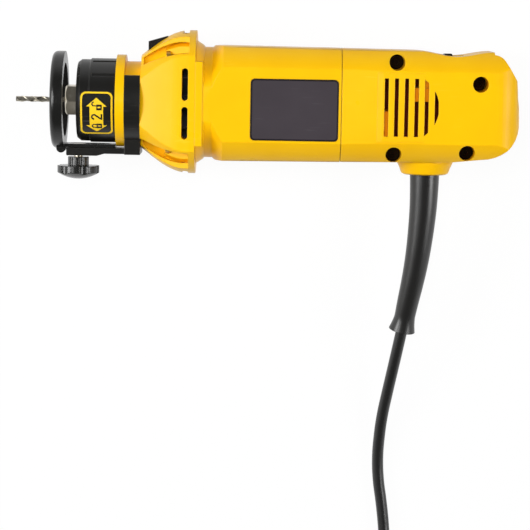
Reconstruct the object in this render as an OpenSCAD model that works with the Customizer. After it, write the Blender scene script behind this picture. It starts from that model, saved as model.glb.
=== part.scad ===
// Corded cut-out tool for wallboard, lying on its far side.
// Lengths are in millimetres. The spindle runs along X with the bit at -X,
// the thumb switch is on the +Y side and the label faces +Z.

/* [Main lengths along the spindle] */
// From the front face of the foot to the front of the nose sleeve
nose_gap = 15.2; // [13:0.2:16]
// Length of the nose sleeve
sleeve_len = 23.2; // [22:0.2:26]
// Thickness of the flange behind the sleeve
flange_t = 5.3; // [4:0.1:6]
// Length of the neck that the saddle grips
neck_len = 9.3; // [8:0.1:12]
// Length of the bell
bell_len = 32.7; // [32:0.1:38]
// Length of the motor housing
motor_len = 85.7; // [84:0.1:96]
// Length of the rear handle
handle_len = 105.6; // [104:0.2:112]

/* [Housings] */
// Radius of the bell at its front edge
bell_front_r = 27.6; // [26.5:0.1:29]
// Half the width of the tool across its flat sides
side_half = 32; // [31.5:0.1:34]
// How far the bell's rear rim stands out past the flat sides
rim_rise = 10.6; // [9.5:0.1:12]
// How much taller than wide the grip is, on each side
grip_rise = 2; // [1.6:0.1:3]
// How far the grip's rounded corners reach past the flat sides
corner_rise = 6.4; // [5.6:0.1:7]
// Wall thickness of the handle shells
shell_wall = 2.8; // [2:0.1:3.4]
// Radius of the flange
flange_r = 27.4; // [26.4:0.1:27.8]
// Radius of the neck
neck_r = 23.5; // [22.5:0.1:24]
// Radius of the journal that the sleeve turns on
journal_r = 20.5; // [19.5:0.1:21]
// Depth of the thumb scoop
scoop_depth = 2.9; // [1.5:0.1:3.4]
// Radius of the cord boss at its mouth
boss_r = 14.6; // [13:0.1:15]
// How far the cord boss stands out past the grip
boss_rise = 6.9; // [5:0.1:9]

/* [Vents and wells] */
// Width of a handle vent slot
vent_w = 2.35; // [1.5:0.05:3]
// Spacing of the handle vent slots
vent_pitch = 5.9; // [5:0.1:6.5]
// Radius of a handle screw well
well_r = 4.65; // [4.2:0.05:5]
// Width of a bell vent slot
bell_slot_w = 3.6; // [2.5:0.1:4.5]
// Length of a bell vent slot
bell_slot_len = 19; // [14:0.5:20]

/* [Nose and depth guide] */
// Outer radius of the sleeve over its ribs
sleeve_r = 25; // [24.2:0.1:25.3]
// Outer radius of the foot ring
foot_r = 29; // [28:0.1:31]
// Inner radius of the foot ring
foot_bore_r = 22; // [20:0.1:23.5]
// Axial depth of the foot ring
foot_depth = 7.4; // [6.5:0.1:7.6]
// Thickness of the foot's tongue
tongue_t = 2; // [1.8:0.1:2.2]
// Half the width of the tongue
tongue_half = 8; // [7:0.1:9]
// Thickness of the bracket arm
arm_t = 4.6; // [3.8:0.1:6]
// Radius of the knob over its lobes
knob_r = 12.5; // [11:0.1:14]
// Height of the knob head
knob_h = 8; // [7:0.1:9]
// Radius of the clamping stud
stud_r = 2.5; // [2:0.1:2.7]
// How far the depth guide slides out
guide_travel = 15; // [8:0.5:15]

/* [Spindle and motor] */
// Diameter of the cutting bit
bit_d = 3.175; // [3:0.025:3.3]
// How far the bit stands out of the foot at rest
bit_reach = 22; // [16:0.5:30]
// Hexagon of the collet nut across its flats
nut_af = 17; // [15.5:0.1:18]
// Outer radius of the front bearing
front_bearing_r = 13; // [12:0.1:14]
// Outer radius of the rear bearing
rear_bearing_r = 11; // [10:0.1:12]
// Wall left between the field stack and the side of the tool
field_wall = 3.7; // [3.5:0.1:4.5]
// Share of the field stack's radius that the armature takes
armature_share = 0.618; // [0.61:0.001:0.63]
// Share of the armature's radius that the commutator takes
commutator_share = 0.686; // [0.65:0.002:0.7]
// Radius of the shaft in the front bearing
shaft_r = 5; // [4.5:0.1:5.5]
// Radius of the shaft in the rear bearing
tail_r = 4; // [3.5:0.1:4.5]
// Air gap between armature and field
air_gap = 0.6; // [0.5:0.05:0.9]
// Length of the armature and field stacks
stack_len = 50; // [46:0.5:54]
// From the tips of the fan to the side of the tool
fan_wall = 7.6; // [7:0.1:9]

/* [Button, switch and label] */
// Travel of the spindle lock button
lock_travel = 3.5; // [2:0.1:4]
// Half the width of the lock button
lock_half = 6; // [5:0.1:7]
// Travel of the thumb switch
switch_travel = 6; // [4:0.2:7]
// Half the width of the switch opening
switch_half = 7; // [6:0.1:8]
// Length of the label panel
label_len = 51.5; // [40:0.5:52]
// Height of the label panel
label_h = 36; // [30:0.5:38]

/* [Cord] */
// Diameter of the mains cord
cord_d = 7; // [6:0.1:7.2]
// Distance between neighbouring turns of the coil
coil_pitch = 7.45; // [7.45:0.05:7.8]
// Inner radius of the coil at the tube's middle
coil_inner_r = 28.2; // [28:0.1:32]
// Turns in each layer of the coil
coil_turns = 3.75; // [2.75:1:3.75]

/* [Hidden] */
$fn = 48;
// Running clearance of a turning fit
run_gap = 0.08;
// Sliding clearance
slide_gap = 0.3;
// Overcut that keeps a cut from ending on a face
eps = 0.5;
yellow = [0.98, 0.76, 0.04];
black = [0.13, 0.13, 0.13];
steel = [0.62, 0.62, 0.60];
copper = [0.75, 0.45, 0.25];

// Girth and motor radii, from the side of the tool
bell_rear_r = side_half + rim_rise;
grip_half_h = side_half + grip_rise;
boss_reach = grip_half_h + boss_rise;
grip_corner_r = side_half + corner_rise;
field_r = side_half - field_wall;
armature_r = field_r * armature_share;
commutator_r = armature_r * commutator_share;
fan_r = side_half - fan_wall;

// Stations along the spindle, from the front face of the foot
sleeve_x = nose_gap;
flange_x = sleeve_x + sleeve_len;
neck_x = flange_x + flange_t;
bell_x = neck_x + neck_len;
motor_x = bell_x + bell_len;
handle_x = motor_x + motor_len;
rear_x = handle_x + handle_len;

// Depth guide heights below the spindle
sleeve_clear = 0.9;
tongue_top = -(sleeve_r + sleeve_clear);
tongue_bottom = tongue_top - tongue_t;
arm_top = tongue_bottom - slide_gap;
arm_bottom = arm_top - arm_t;
knob_x = 15.5;
thread_show = 1.2;
neck_h = 5.2;
knob_neck_top = arm_bottom - thread_show;
knob_head_top = knob_neck_top - neck_h;
knob_bottom = knob_head_top - knob_h;

// The tool lies on the floor with its box centred over the origin
mid_x = (rear_x - bit_reach) / 2;
mid_y = (bell_rear_r + knob_bottom) / 2;

// Places a piece, drawn about the spindle, on the floor
module on_floor() {
    translate([-mid_x, -mid_y, side_half])
        children();
}

// Turns a profile of [radius, x] points about the spindle
module around_spindle(profile) {
    rotate([0, 90, 0])
        rotate_extrude()
            polygon(profile);
}

// Runs a (y, z) section along the spindle
module along_spindle(x, length) {
    translate([x, 0, 0])
        rotate([90, 0, 90])
            linear_extrude(length)
                children();
}

// Runs an (x, y) outline through the tool from side to side
module across(half_width) {
    translate([0, 0, -half_width])
        linear_extrude(2 * half_width)
            children();
}

// Runs an (x, z) outline through the tool from top to bottom
module upright(half_height) {
    rotate([90, 0, 0])
        translate([0, 0, -half_height])
            linear_extrude(2 * half_height)
                children();
}

// A round rod along the spindle
module rod_x(x, length, r) {
    translate([x, 0, 0])
        rotate([0, 90, 0])
            cylinder(r = r, h = length);
}

// A round tube along the spindle
module tube_x(x, length, r, bore_r) {
    rotate([0, 90, 0])
        translate([0, 0, x])
            difference() {
                cylinder(r = r, h = length);
                translate([0, 0, -eps])
                    cylinder(r = bore_r, h = length + 2 * eps);
            }
}

// A box given by its lowest and highest corners
module block(low, high) {
    translate(low)
        cube(high - low);
}

// A flat slot outline with round ends, centred, its length along Y
module slot_2d(width, length) {
    square([width, length - width], center = true);
    for (s = [-1, 1])
        translate([0, s * (length - width) / 2])
            circle(d = width);
}

// A rectangle with rounded corners, centred
module round_rect(width, height, r) {
    square([width - 2 * r, height], center = true);
    square([width, height - 2 * r], center = true);
    for (sx = [-1, 1], sy = [-1, 1])
        translate([sx * (width / 2 - r), sy * (height / 2 - r)])
            circle(r = r);
}

// Copies to both signs of Z
module both_sides() {
    for (s = [0, 1])
        mirror([0, 0, s])
            children();
}

// Copies to both signs of Y
module top_and_bottom() {
    for (s = [0, 1])
        mirror([0, s, 0])
            children();
}

// Points on an arc from angle a0 to a1
function arc(c, r, a0, a1, n) =
    [for (i = [0 : n]) let (a = a0 + (a1 - a0) * i / n) [c[0] + r * cos(a), c[1] + r * sin(a)]];

// Front housing: a turned bell with flat cheeks, neck, flange and sleeve journal
bell_rim = 3.8;
bell_curve = bell_len - bell_rim;
bell_steps = 9;
rim_x = bell_x + bell_curve;
cheek_front = neck_r + 0.9;
cheek_front_y = bell_front_r - 6.3;
cheek_rear_y = side_half - 2.7;
journal_x = sleeve_x + 4.9;
lip_front_t = 2.6;
lip_rear_t = 7.2;
lip_front_z = lock_half + 4;
lip_rear_z = lip_front_z + 8;
shelf_drop = 5;
shelf_floor_z = lock_half + 3.5;
pocket_rim = 1.6;
pocket_len = 14.6;
pocket_floor_z = lock_half + 2;
chamber_x = bell_x + 16.4;
fan_gap = 1.6;
chamber_r = fan_r + fan_gap;
front_bearing_x = bell_x + 1;
bearing_lip = 2;
front_bearing_w = 8;
nose_bore_r = 12.6;
shoulder_bore_r = 9.4;
screw_r = 1.5;
screw_head_r = 3.3;
housing_screw_r = field_r + 2.2;
housing_screw_angle = 29;
housing_screw_y = housing_screw_r * cos(housing_screw_angle);
housing_screw_bite = 11;
housing_screw_z = housing_screw_r * sin(housing_screw_angle);
housing_screw_x = bell_x + pocket_len + 3;
bell_slot_x = motor_x - 6;
bell_slot_y = (bell_slot_len + 3.6) / 2;
top_slot_len = 24;
lock_x = bell_x + 4;
lock_len = 11.2;
lock_pin_x = front_bearing_x + front_bearing_w + 3;
lock_pin_r = 2;
lock_floor = 21;
bracket_screw_z = 9;
bracket_screw_x = neck_x + neck_len / 2;
bracket_screw_end = -17;

// Radius of the bell at a share t of its curve, less an inset
function bell_r(t, inset) = bell_front_r + (bell_rear_r - bell_front_r) * sin(90 * t) - inset;

function bell_profile(inset) = concat(
    [[0, bell_x]],
    [for (i = [0 : bell_steps]) let (t = i / bell_steps) [bell_r(t, inset), bell_x + bell_curve * t]],
    [[bell_rear_r - inset, motor_x], [0, motor_x]]
);

function cheek_half(t) = cheek_front + (side_half - cheek_front) * sin(90 * t);

module cheek_plan() {
    side = [for (i = [0 : bell_steps]) let (t = i / bell_steps) [bell_x + bell_curve * t, cheek_half(t)]];
    back = [[motor_x, side_half], [motor_x, -side_half]];
    polygon(concat(side, back, [for (i = [bell_steps : -1 : 0]) [side[i][0], -side[i][1]]]));
}

// Height of a cheek's edge and of a lip's inner edge at a share t of the curve
function cheek_y(t) = cheek_front_y + (cheek_rear_y - cheek_front_y) * sin(90 * t);
function lip_y(t) = bell_r(t, lip_front_t + (lip_rear_t - lip_front_t) * t);

// The band between cheek and lip from length a to length b of the bell
module channel_plan(a, b) {
    shares = [for (i = [0 : bell_steps]) (a + (b - a) * i / bell_steps) / bell_curve];
    polygon(concat(
        [for (t = shares) [bell_x + bell_curve * t, cheek_y(t)]],
        [for (i = [bell_steps : -1 : 0]) [bell_x + bell_curve * shares[i], lip_y(shares[i])]]
    ));
}

// Everything above the sloping tops of the lips, beyond the cheek's edge
module lip_tops() {
    beyond = bell_rear_r + 1;
    intersection() {
        linear_extrude(beyond)
            polygon(concat(
                [[bell_x - eps, cheek_front_y]],
                [for (i = [1 : bell_steps]) let (t = i / bell_steps) [bell_x + bell_curve * t, cheek_y(t)]],
                [[rim_x, beyond], [bell_x - eps, beyond]]
            ));
        upright(beyond)
            polygon([
                [bell_x - 1, lip_front_z], [rim_x + 1, lip_rear_z],
                [rim_x + 1, beyond], [bell_x - 1, beyond]
            ]);
    }
}

// Lips at the four corners of the bell, each with a shelf and a screw pocket behind it
module bell_corners() {
    top_and_bottom()
        both_sides() {
            lip_tops();
            difference() {
                translate([0, 0, shelf_floor_z])
                    linear_extrude(side_half)
                        channel_plan(pocket_rim, bell_curve);
                around_spindle(bell_profile(shelf_drop));
            }
            translate([0, 0, pocket_floor_z])
                linear_extrude(side_half)
                    channel_plan(pocket_rim, pocket_len);
        }
}

module housing_screw_places() {
    for (sy = [-1, 1], sz = [-1, 1])
        translate([housing_screw_x, sy * housing_screw_y, sz * housing_screw_z])
            rotate([0, 90, 0])
                children();
}

module bell_vents() {
    both_sides()
        for (s = [-1, 1])
            translate([bell_slot_x, s * bell_slot_y, pocket_floor_z])
                linear_extrude(side_half)
                    slot_2d(bell_slot_w, bell_slot_len);
    top_and_bottom()
        translate([bell_slot_x, chamber_r - eps, 0])
            rotate([-90, 0, 0])
                linear_extrude(bell_rear_r)
                    slot_2d(bell_slot_w, top_slot_len);
}

module lock_slot() {
    block([lock_x - slide_gap, lock_floor, -lock_half - slide_gap],
        [lock_x + lock_len + slide_gap, bell_rear_r + eps, lock_half + slide_gap]);
    translate([lock_pin_x, 0, 0])
        rotate([-90, 0, 0])
            cylinder(r = lock_pin_r + run_gap, h = lock_floor + eps);
}

module bracket_screw_places() {
    for (s = [-1, 1])
        translate([bracket_screw_x, 0, s * bracket_screw_z])
            rotate([90, 0, 0])
                children();
}

module front_housing() {
    color(yellow)
        on_floor()
            difference() {
                union() {
                    around_spindle([
                        [0, journal_x], [journal_r, journal_x], [journal_r, flange_x], [flange_r, flange_x],
                        [flange_r, neck_x], [neck_r, neck_x], [neck_r, bell_x + eps], [0, bell_x + eps]
                    ]);
                    intersection() {
                        around_spindle(bell_profile(0));
                        upright(bell_rear_r + 1)
                            cheek_plan();
                    }
                }
                bell_corners();
                housing_screw_places() {
                    translate([0, 0, -pocket_len])
                        cylinder(r = screw_head_r + slide_gap, h = pocket_len);
                    cylinder(r = screw_r + slide_gap / 2, h = bell_len);
                }
                bell_vents();
                lock_slot();
                rod_x(chamber_x, bell_len, chamber_r);
                rod_x(front_bearing_x, bell_len, front_bearing_r);
                rod_x(bell_x - bearing_lip - eps, bell_len, shoulder_bore_r);
                rod_x(journal_x - eps, bell_x - bearing_lip - journal_x + eps, nose_bore_r);
                clip_groove();
                bracket_screw_places()
                    translate([0, 0, -bracket_screw_end])
                        cylinder(r = screw_r, h = bell_rear_r);
            }
}

// Motor housing: a waisted front, a grip of rounded flats and a rear spigot
motor_flange_len = 4.3;
motor_flange_r = side_half + 4.8;
waist_r = side_half + 0.9;
waist_x = motor_x + motor_flange_len + 0.8;
waist_len = 4.6;
shoulder_x = motor_x + 18.6;
shoulder_r = side_half + 8.5;
grip_inset = 0.5;
grip_taper = 0.7;
pad_half = 24.8;
field_x = motor_x + 12.3;
field_end = field_x + stack_len;
rear_bore_r = field_r - 1.9;
spigot_len = 6.5;
spigot_gap = 0.25;
spigot_r = side_half - grip_inset - shell_wall - spigot_gap;
label_t = 0.8;
label_gap = 0.2;
label_x = handle_x - 1.6 - label_len / 2;
label_y = -2.6;
label_corner = 2.5;

module grip_section(inset) {
    intersection() {
        circle(r = grip_corner_r - inset);
        square([2 * (grip_half_h - inset), 2 * (side_half - inset)], center = true);
    }
}

module label_outline(gap) {
    translate([label_x, label_y])
        round_rect(label_len + 2 * gap, label_h + 2 * gap, label_corner);
}

module motor_housing() {
    color(yellow)
        on_floor()
            difference() {
                union() {
                    intersection() {
                        around_spindle([
                            [0, motor_x], [grip_half_h, motor_x], [grip_half_h, motor_x + motor_flange_len],
                            [waist_r, waist_x], [waist_r, waist_x + waist_len],
                            [shoulder_r, shoulder_x], [shoulder_r, handle_x], [0, handle_x]
                        ]);
                        along_spindle(motor_x, motor_len)
                            intersection() {
                                grip_section(0);
                                square([2 * grip_half_h, 2 * (side_half - grip_inset)], center = true);
                            }
                        across(side_half)
                            polygon([
                                [motor_x, -grip_half_h], [handle_x, -grip_end_h],
                                [handle_x, grip_end_h], [motor_x, grip_half_h]
                            ]);
                    }
                    intersection() {
                        translate([motor_x, 0, 0])
                            rotate([0, 90, 0])
                                cylinder(r1 = motor_flange_r, r2 = grip_half_h, h = motor_flange_len);
                        block([motor_x, -motor_flange_r, -side_half],
                            [motor_x + motor_flange_len, motor_flange_r, side_half]);
                    }
                    block([motor_x, -pad_half, -side_half],
                        [motor_x + motor_flange_len, pad_half, side_half]);
                    rod_x(handle_x - eps, spigot_len + eps, spigot_r);
                }
                rod_x(motor_x - eps, field_end - motor_x + eps, field_r);
                rod_x(field_end - eps, rear_x, rear_bore_r);
                translate([0, 0, side_half - grip_inset - label_t])
                    linear_extrude(label_t + eps)
                        label_outline(label_gap);
                housing_screw_places()
                    cylinder(r = screw_r, h = motor_x + housing_screw_bite + eps - housing_screw_x);
            }
}

module label_plate() {
    color([0.27, 0.26, 0.28])
        on_floor()
            translate([0, 0, side_half - grip_inset - label_t])
                linear_extrude(label_t - label_gap)
                    label_outline(0);
}

module housing_screws() {
    color(steel)
        on_floor()
            housing_screw_places() {
                translate([0, 0, -2.4])
                    cylinder(r = screw_head_r, h = 2.4);
                cylinder(r = screw_r, h = motor_x + housing_screw_bite - housing_screw_x);
            }
}

// Rear handle: two shells that meet on the middle plane
hump_r = 6.9;
hump_y = 24.4;
hump_back = 15.4;
hump_end_angle = 31;
heel_r = 22.4;
heel_y = -8;
scoop_x = handle_x + handle_len * 0.417;
scoop_len = rear_x - hump_back - 0.2 - scoop_x;
scoop_steps = 12;
rear_round = 14;
// How far the outline runs past the open front of the handle
front_over = 6;
grip_end_h = grip_half_h - grip_taper;
handle_top = grip_end_h - 0.4;
seam_gap = 0.35;
boss_x = handle_x + handle_len * 0.489;
boss_flare = 2;
boss_edge = 2;
boss_root = grip_half_h - 8;
sleeve_root_r = 8.9;
root_flange_r = 11;
root_flange_y = -grip_half_h;
root_flange_t = 3;
well_shares = [[0.308, 0.77], [0.771, 0.418], [0.298, -0.826], [0.706, -0.776]];
well_places = [for (w = well_shares) [handle_len * w[0], grip_half_h * w[1]]];
well_wall = 1.9;
well_floor = 13;
vent_x = handle_x + handle_len * 0.25;
vent_count = 6;
vent_half = 17;
vent_round_r = 20;
vent_round_x = handle_x + handle_len * 0.354;
rear_bearing_x = handle_x + 17.6;
rear_bearing_w = 7;
rear_wall_t = 3;
shelf_t = 2.4;
shelf_inner = 5;
switch_x = handle_x + handle_len * 0.604;
cap_half_len = 9;
lip_half_len = 13;
lip_h = 1.2;
wall_gap = 0.5;
inlay_x = rear_x - 5.5;
inlay_low = 8;
inlay_high = 18.5;
inlay_half = 9;
inlay_proud = 1.2;
clamp_half_len = 9;
clamp_low = -grip_half_h + 5;
clamp_high = clamp_low + 7;
clamp_z = 0.4;
clamp_t = 7;
stub_r = 4;

function scoop_y(t) = handle_top - scoop_depth * (1 - cos(360 * t)) / 2 * (0.85 + 0.3 * t);

module handle_outline(grow) {
    offset(delta = grow)
        polygon(concat(
            [[handle_x - front_over, grip_end_h]],
            [for (i = [0 : scoop_steps]) let (t = i / scoop_steps) [scoop_x + scoop_len * t, scoop_y(t)]],
            arc([rear_x - hump_back, hump_y], hump_r, 90, hump_end_angle, 6),
            [[rear_x - 2.4, 16.5], [rear_x - 1.9, 11.7], [rear_x - 1.6, 6.3], [rear_x - 0.6, 0.5]],
            arc([rear_x - heel_r, heel_y], heel_r, 12, -90, 10),
            [[rear_x - 40, -grip_end_h + 0.9], [handle_x - front_over, -grip_end_h]]
        ));
}

module handle_plan(inset) {
    half = side_half - inset;
    round_c = [rear_x - rear_round - inset, half - rear_round];
    side = concat(
        [[handle_x - front_over, half - grip_inset], [handle_x, half - grip_inset], [vent_x, half]],
        arc(round_c, rear_round, 90, 0, 8)
    );
    n = len(side);
    polygon(concat(side, [for (i = [n - 1 : -1 : 0]) [side[i][0], -side[i][1]]]));
}

module handle_form(inset) {
    intersection() {
        across(side_half + 1)
            handle_outline(-inset);
        upright(grip_half_h + boss_reach)
            handle_plan(inset);
        along_spindle(handle_x + (inset > 0 ? -eps : seam_gap), handle_len + 2 * eps)
            grip_section(inset);
    }
}

module cord_boss() {
    mouth = boss_reach - boss_root;
    translate([boss_x, -boss_root, 0])
        rotate([90, 0, 0])
            rotate_extrude()
                polygon([
                    [0, 0], [boss_r + boss_flare, 0], [boss_r + boss_flare, mouth - boss_rise],
                    [boss_r + boss_flare / 5, mouth - boss_rise / 2], [boss_r, mouth - boss_edge],
                    [boss_r - boss_edge / 3, mouth - boss_edge / 3], [boss_r - boss_edge, mouth], [0, mouth]
                ]);
}

module well_posts(r) {
    for (p = well_places)
        translate([handle_x + p[0], p[1], -side_half])
            cylinder(r = r, h = 2 * side_half);
}

module vent_slots() {
    intersection() {
        for (k = [0 : vent_count - 1])
            translate([vent_x + vent_pitch * k, 0])
                square([vent_w, 2 * vent_half], center = true);
        union() {
            translate([vent_round_x, 0])
                circle(r = vent_round_r);
            translate([vent_x - vent_pitch, -vent_half])
                square([vent_round_x - vent_x + vent_pitch, 2 * vent_half]);
        }
    }
}

// Ribs inside the handle: the rear bearing seat, the switch shelf and the cord pad
module handle_ribs() {
    difference() {
        block([rear_bearing_x - rear_wall_t, -rear_bearing_r - 4, -side_half],
            [rear_bearing_x + rear_bearing_w, rear_bearing_r + 4, side_half]);
        rod_x(rear_bearing_x, rear_bearing_w + eps, rear_bearing_r);
        rod_x(rear_bearing_x - rear_wall_t - eps, rear_wall_t + 2 * eps, rear_bearing_r - 2.5);
    }
    both_sides()
        block([switch_x - cap_half_len, switch_low - shelf_t, shelf_inner],
            [switch_x + cap_half_len, switch_low, side_half]);
}

module cord_pad() {
    difference() {
        block([boss_x - clamp_half_len, clamp_low, -side_half],
            [boss_x + clamp_half_len, clamp_high, -clamp_z]);
        translate([boss_x, clamp_low - eps, 0])
            rotate([-90, 0, 0])
                cylinder(r = stub_r, h = clamp_high - clamp_low + 2 * eps);
        clamp_screw_places()
            translate([0, 0, -8])
                cylinder(r = screw_r, h = 8);
    }
}

module clamp_screw_places() {
    for (s = [-1, 1])
        translate([boss_x + s * (clamp_half_len - 2.6), (clamp_low + clamp_high) / 2, 0])
            children();
}

module inlay_space() {
    block([inlay_x, inlay_low, -inlay_half], [rear_x + 2, inlay_high, inlay_half]);
}

module handle_body() {
    difference() {
        union() {
            difference() {
                union() {
                    handle_form(0);
                    cord_boss();
                }
                handle_form(shell_wall);
            }
            intersection() {
                handle_form(shell_wall / 2);
                union() {
                    well_posts(well_r + well_wall);
                    handle_ribs();
                }
            }
        }
        translate([0, 0, -side_half - eps])
            linear_extrude(side_half / 2)
                vent_slots();
        translate([0, 0, side_half / 2 + eps])
            linear_extrude(side_half / 2)
                vent_slots();
        block([switch_x - cap_half_len - switch_travel - slide_gap, switch_high, -switch_half - slide_gap],
            [switch_x + cap_half_len + slide_gap, grip_half_h + eps, switch_half + slide_gap]);
        inlay_space();
        translate([boss_x, 0, 0])
            rotate([90, 0, 0]) {
                translate([0, 0, -root_flange_y])
                    cylinder(r = root_flange_r, h = root_flange_t);
                cylinder(r = sleeve_root_r, h = boss_reach + eps);
            }
    }
}

module handle_shell_near() {
    color(yellow)
        on_floor()
            difference() {
                intersection() {
                    handle_body();
                    block([handle_x, -boss_reach - eps, 0], [rear_x + eps, grip_half_h, side_half + eps]);
                }
                for (p = well_places)
                    translate([handle_x + p[0], p[1], 0]) {
                        translate([0, 0, well_floor])
                            cylinder(r = well_r, h = side_half);
                        translate([0, 0, -eps])
                            cylinder(r = screw_r + slide_gap / 2, h = well_floor + 2 * eps);
                    }
            }
}

module handle_shell_far() {
    color(yellow)
        on_floor()
            difference() {
                union() {
                    intersection() {
                        handle_body();
                        block([handle_x, -boss_reach - eps, -side_half - eps],
                            [rear_x + eps, grip_half_h, 0]);
                    }
                    intersection() {
                        handle_form(shell_wall / 2);
                        cord_pad();
                    }
                }
                for (p = well_places)
                    translate([handle_x + p[0], p[1], -side_half / 2])
                        cylinder(r = screw_r, h = side_half);
            }
}

module handle_screws() {
    color(steel)
        on_floor()
            for (p = well_places)
                translate([handle_x + p[0], p[1], 0]) {
                    translate([0, 0, well_floor])
                        difference() {
                            cylinder(r = screw_head_r, h = 2.6);
                            translate([0, 0, 1.4])
                                cylinder(r = 1.5, h = 2, $fn = 6);
                        }
                    translate([0, 0, -side_half / 2])
                        cylinder(r = screw_r, h = side_half / 2 + well_floor);
                }
}

module rear_inlay() {
    color(black)
        on_floor()
            intersection() {
                across(inlay_half)
                    handle_outline(inlay_proud);
                inlay_space();
                upright(grip_half_h)
                    handle_plan(0);
            }
}

// Nose: the sleeve turns on the journal and a clip keeps it there
clip_x = journal_x + 0.7;
clip_t = 1.2;
clip_depth = 1.2;
clip_r = journal_r + 1.8;
clip_opening = 14;
sleeve_cavity_r = clip_r + 0.7;
sleeve_wall_t = 3.2;
sleeve_step = 0.7;
sleeve_step_x = sleeve_x + 8;
nut_corner_r = nut_af / 2 / cos(30);
nut_clear = 0.7;
rib_pitch = 30;
rib_first = 39;
rib_count = 9;
rib_cut_r = 1.3;
rib_cut_lift = 0.5;
tooth_pitch = 8;
tooth_count = 31;
tooth_r = 0.8;

module clip_groove() {
    tube_x(clip_x, clip_t, journal_r + eps, journal_r - clip_depth);
}

// Places round the sleeve, counted from the near side towards the top
module rib_places(count, pitch) {
    for (i = [0 : count - 1])
        rotate([-(rib_first + pitch * i), 0, 0])
            children();
}

module nose_sleeve() {
    hole_r = nut_corner_r + nut_clear;
    bore_r = journal_r + run_gap;
    rear = flange_x - slide_gap;
    shoulder = clip_x + clip_t + slide_gap;
    color(black)
        on_floor()
            difference() {
                around_spindle([
                    [hole_r, sleeve_x], [sleeve_r - 2.4, sleeve_x], [sleeve_r - sleeve_step, sleeve_x + 2.2],
                    [sleeve_r - sleeve_step, sleeve_step_x - sleeve_step], [sleeve_r, sleeve_step_x],
                    [sleeve_r, rear], [bore_r, rear], [bore_r, shoulder], [sleeve_cavity_r, shoulder],
                    [sleeve_cavity_r, sleeve_x + sleeve_wall_t], [hole_r, sleeve_x + sleeve_wall_t]
                ]);
                rib_places(rib_count, rib_pitch)
                    translate([0, 0, sleeve_r + rib_cut_lift])
                        rod_x(sleeve_step_x + 1, sleeve_len, rib_cut_r);
                rib_places(tooth_count, tooth_pitch)
                    translate([0, 0, sleeve_r - 1.2])
                        rod_x(sleeve_x - eps, 2, tooth_r);
            }
}

module sleeve_clip() {
    color(steel)
        on_floor()
            difference() {
                tube_x(clip_x, clip_t, clip_r, journal_r - clip_depth);
                block([clip_x - eps, -clip_opening / 2, -clip_r - eps],
                    [clip_x + clip_t + eps, clip_opening / 2, 0]);
            }
}

// Depth guide: saddle and arm, sliding foot, clamping knob
saddle_r = 27.3;
saddle_top = 15.8;
saddle_foot_half = 15;
arm_half = 9;
arm_front = foot_depth + 1.4;
arm_rise = 1.3;
arm_nose = 0.5;
stud_head_r = 4.2;
stud_head_t = 0.8;
stud_head_gap = 0.2;
stud_sunk = 3;
head_slot_depth = 1.2;
heel_bend_r = 2.8;
tongue_end = flange_x - 0.5;
bracket_head_t = 2.4;

module guide_bracket() {
    color(black)
        on_floor()
            difference() {
                union() {
                    along_spindle(neck_x, neck_len)
                        difference() {
                            union() {
                                circle(r = saddle_r);
                                translate([arm_bottom + arm_rise, -saddle_foot_half])
                                    square([saddle_r, 2 * saddle_foot_half]);
                            }
                            circle(r = neck_r);
                            translate([saddle_top, -saddle_r])
                                square(2 * saddle_r);
                        }
                    across(arm_half)
                        polygon([
                            [arm_front + arm_nose, arm_top], [bell_x, arm_top],
                            [bell_x, arm_bottom + arm_rise],
                            [knob_x + 16, arm_bottom + arm_rise], [knob_x + 11.5, arm_bottom],
                            [arm_front + arm_nose, arm_bottom], [arm_front, arm_bottom + arm_nose],
                            [arm_front, arm_top - arm_nose]
                        ]);
                }
                translate([knob_x, 0, 0])
                    rotate([90, 0, 0])
                        cylinder(r = stud_r + run_gap, h = -knob_bottom);
                bracket_screw_places() {
                    cylinder(r = screw_r, h = -knob_bottom);
                    translate([0, 0, -arm_bottom - arm_rise - bracket_head_t])
                        cylinder(r = screw_head_r, h = knob_h);
                }
            }
}

module bracket_screws() {
    seat = -arm_bottom - arm_rise - bracket_head_t;
    color(steel)
        on_floor()
            bracket_screw_places() {
                translate([0, 0, -bracket_screw_end])
                    cylinder(r = screw_r, h = seat + bracket_screw_end);
                translate([0, 0, seat])
                    cylinder(r = screw_head_r, h = bracket_head_t - slide_gap);
            }
}

// A slot down through the tongue, as long as the guide's travel
module tongue_slot(r, low, high) {
    translate([0, high, 0])
        rotate([90, 0, 0])
            linear_extrude(high - low) {
                translate([knob_x, -r])
                    square([guide_travel, 2 * r]);
                for (x = [knob_x, knob_x + guide_travel])
                    translate([x, 0])
                        circle(r = r);
            }
}

module depth_foot() {
    edge = 3;
    color(black)
        on_floor()
            difference() {
                union() {
                    around_spindle(concat(
                        [[foot_bore_r, 0]],
                        arc([foot_r - edge, edge], edge, -90, 0, 4),
                        [[foot_r, foot_depth], [foot_bore_r, foot_depth]]
                    ));
                    block([foot_depth / 2, tongue_bottom, -tongue_half],
                        [tongue_end, tongue_top, tongue_half]);
                    translate([foot_depth - heel_bend_r + 1, tongue_bottom - 0.6, -tongue_half])
                        cylinder(r = heel_bend_r, h = 2 * tongue_half);
                }
                tongue_slot(stud_r + slide_gap, tongue_bottom - eps, tongue_top + eps);
                tongue_slot(stud_head_r + slide_gap, tongue_top - head_slot_depth, tongue_top + eps);
            }
}

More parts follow.
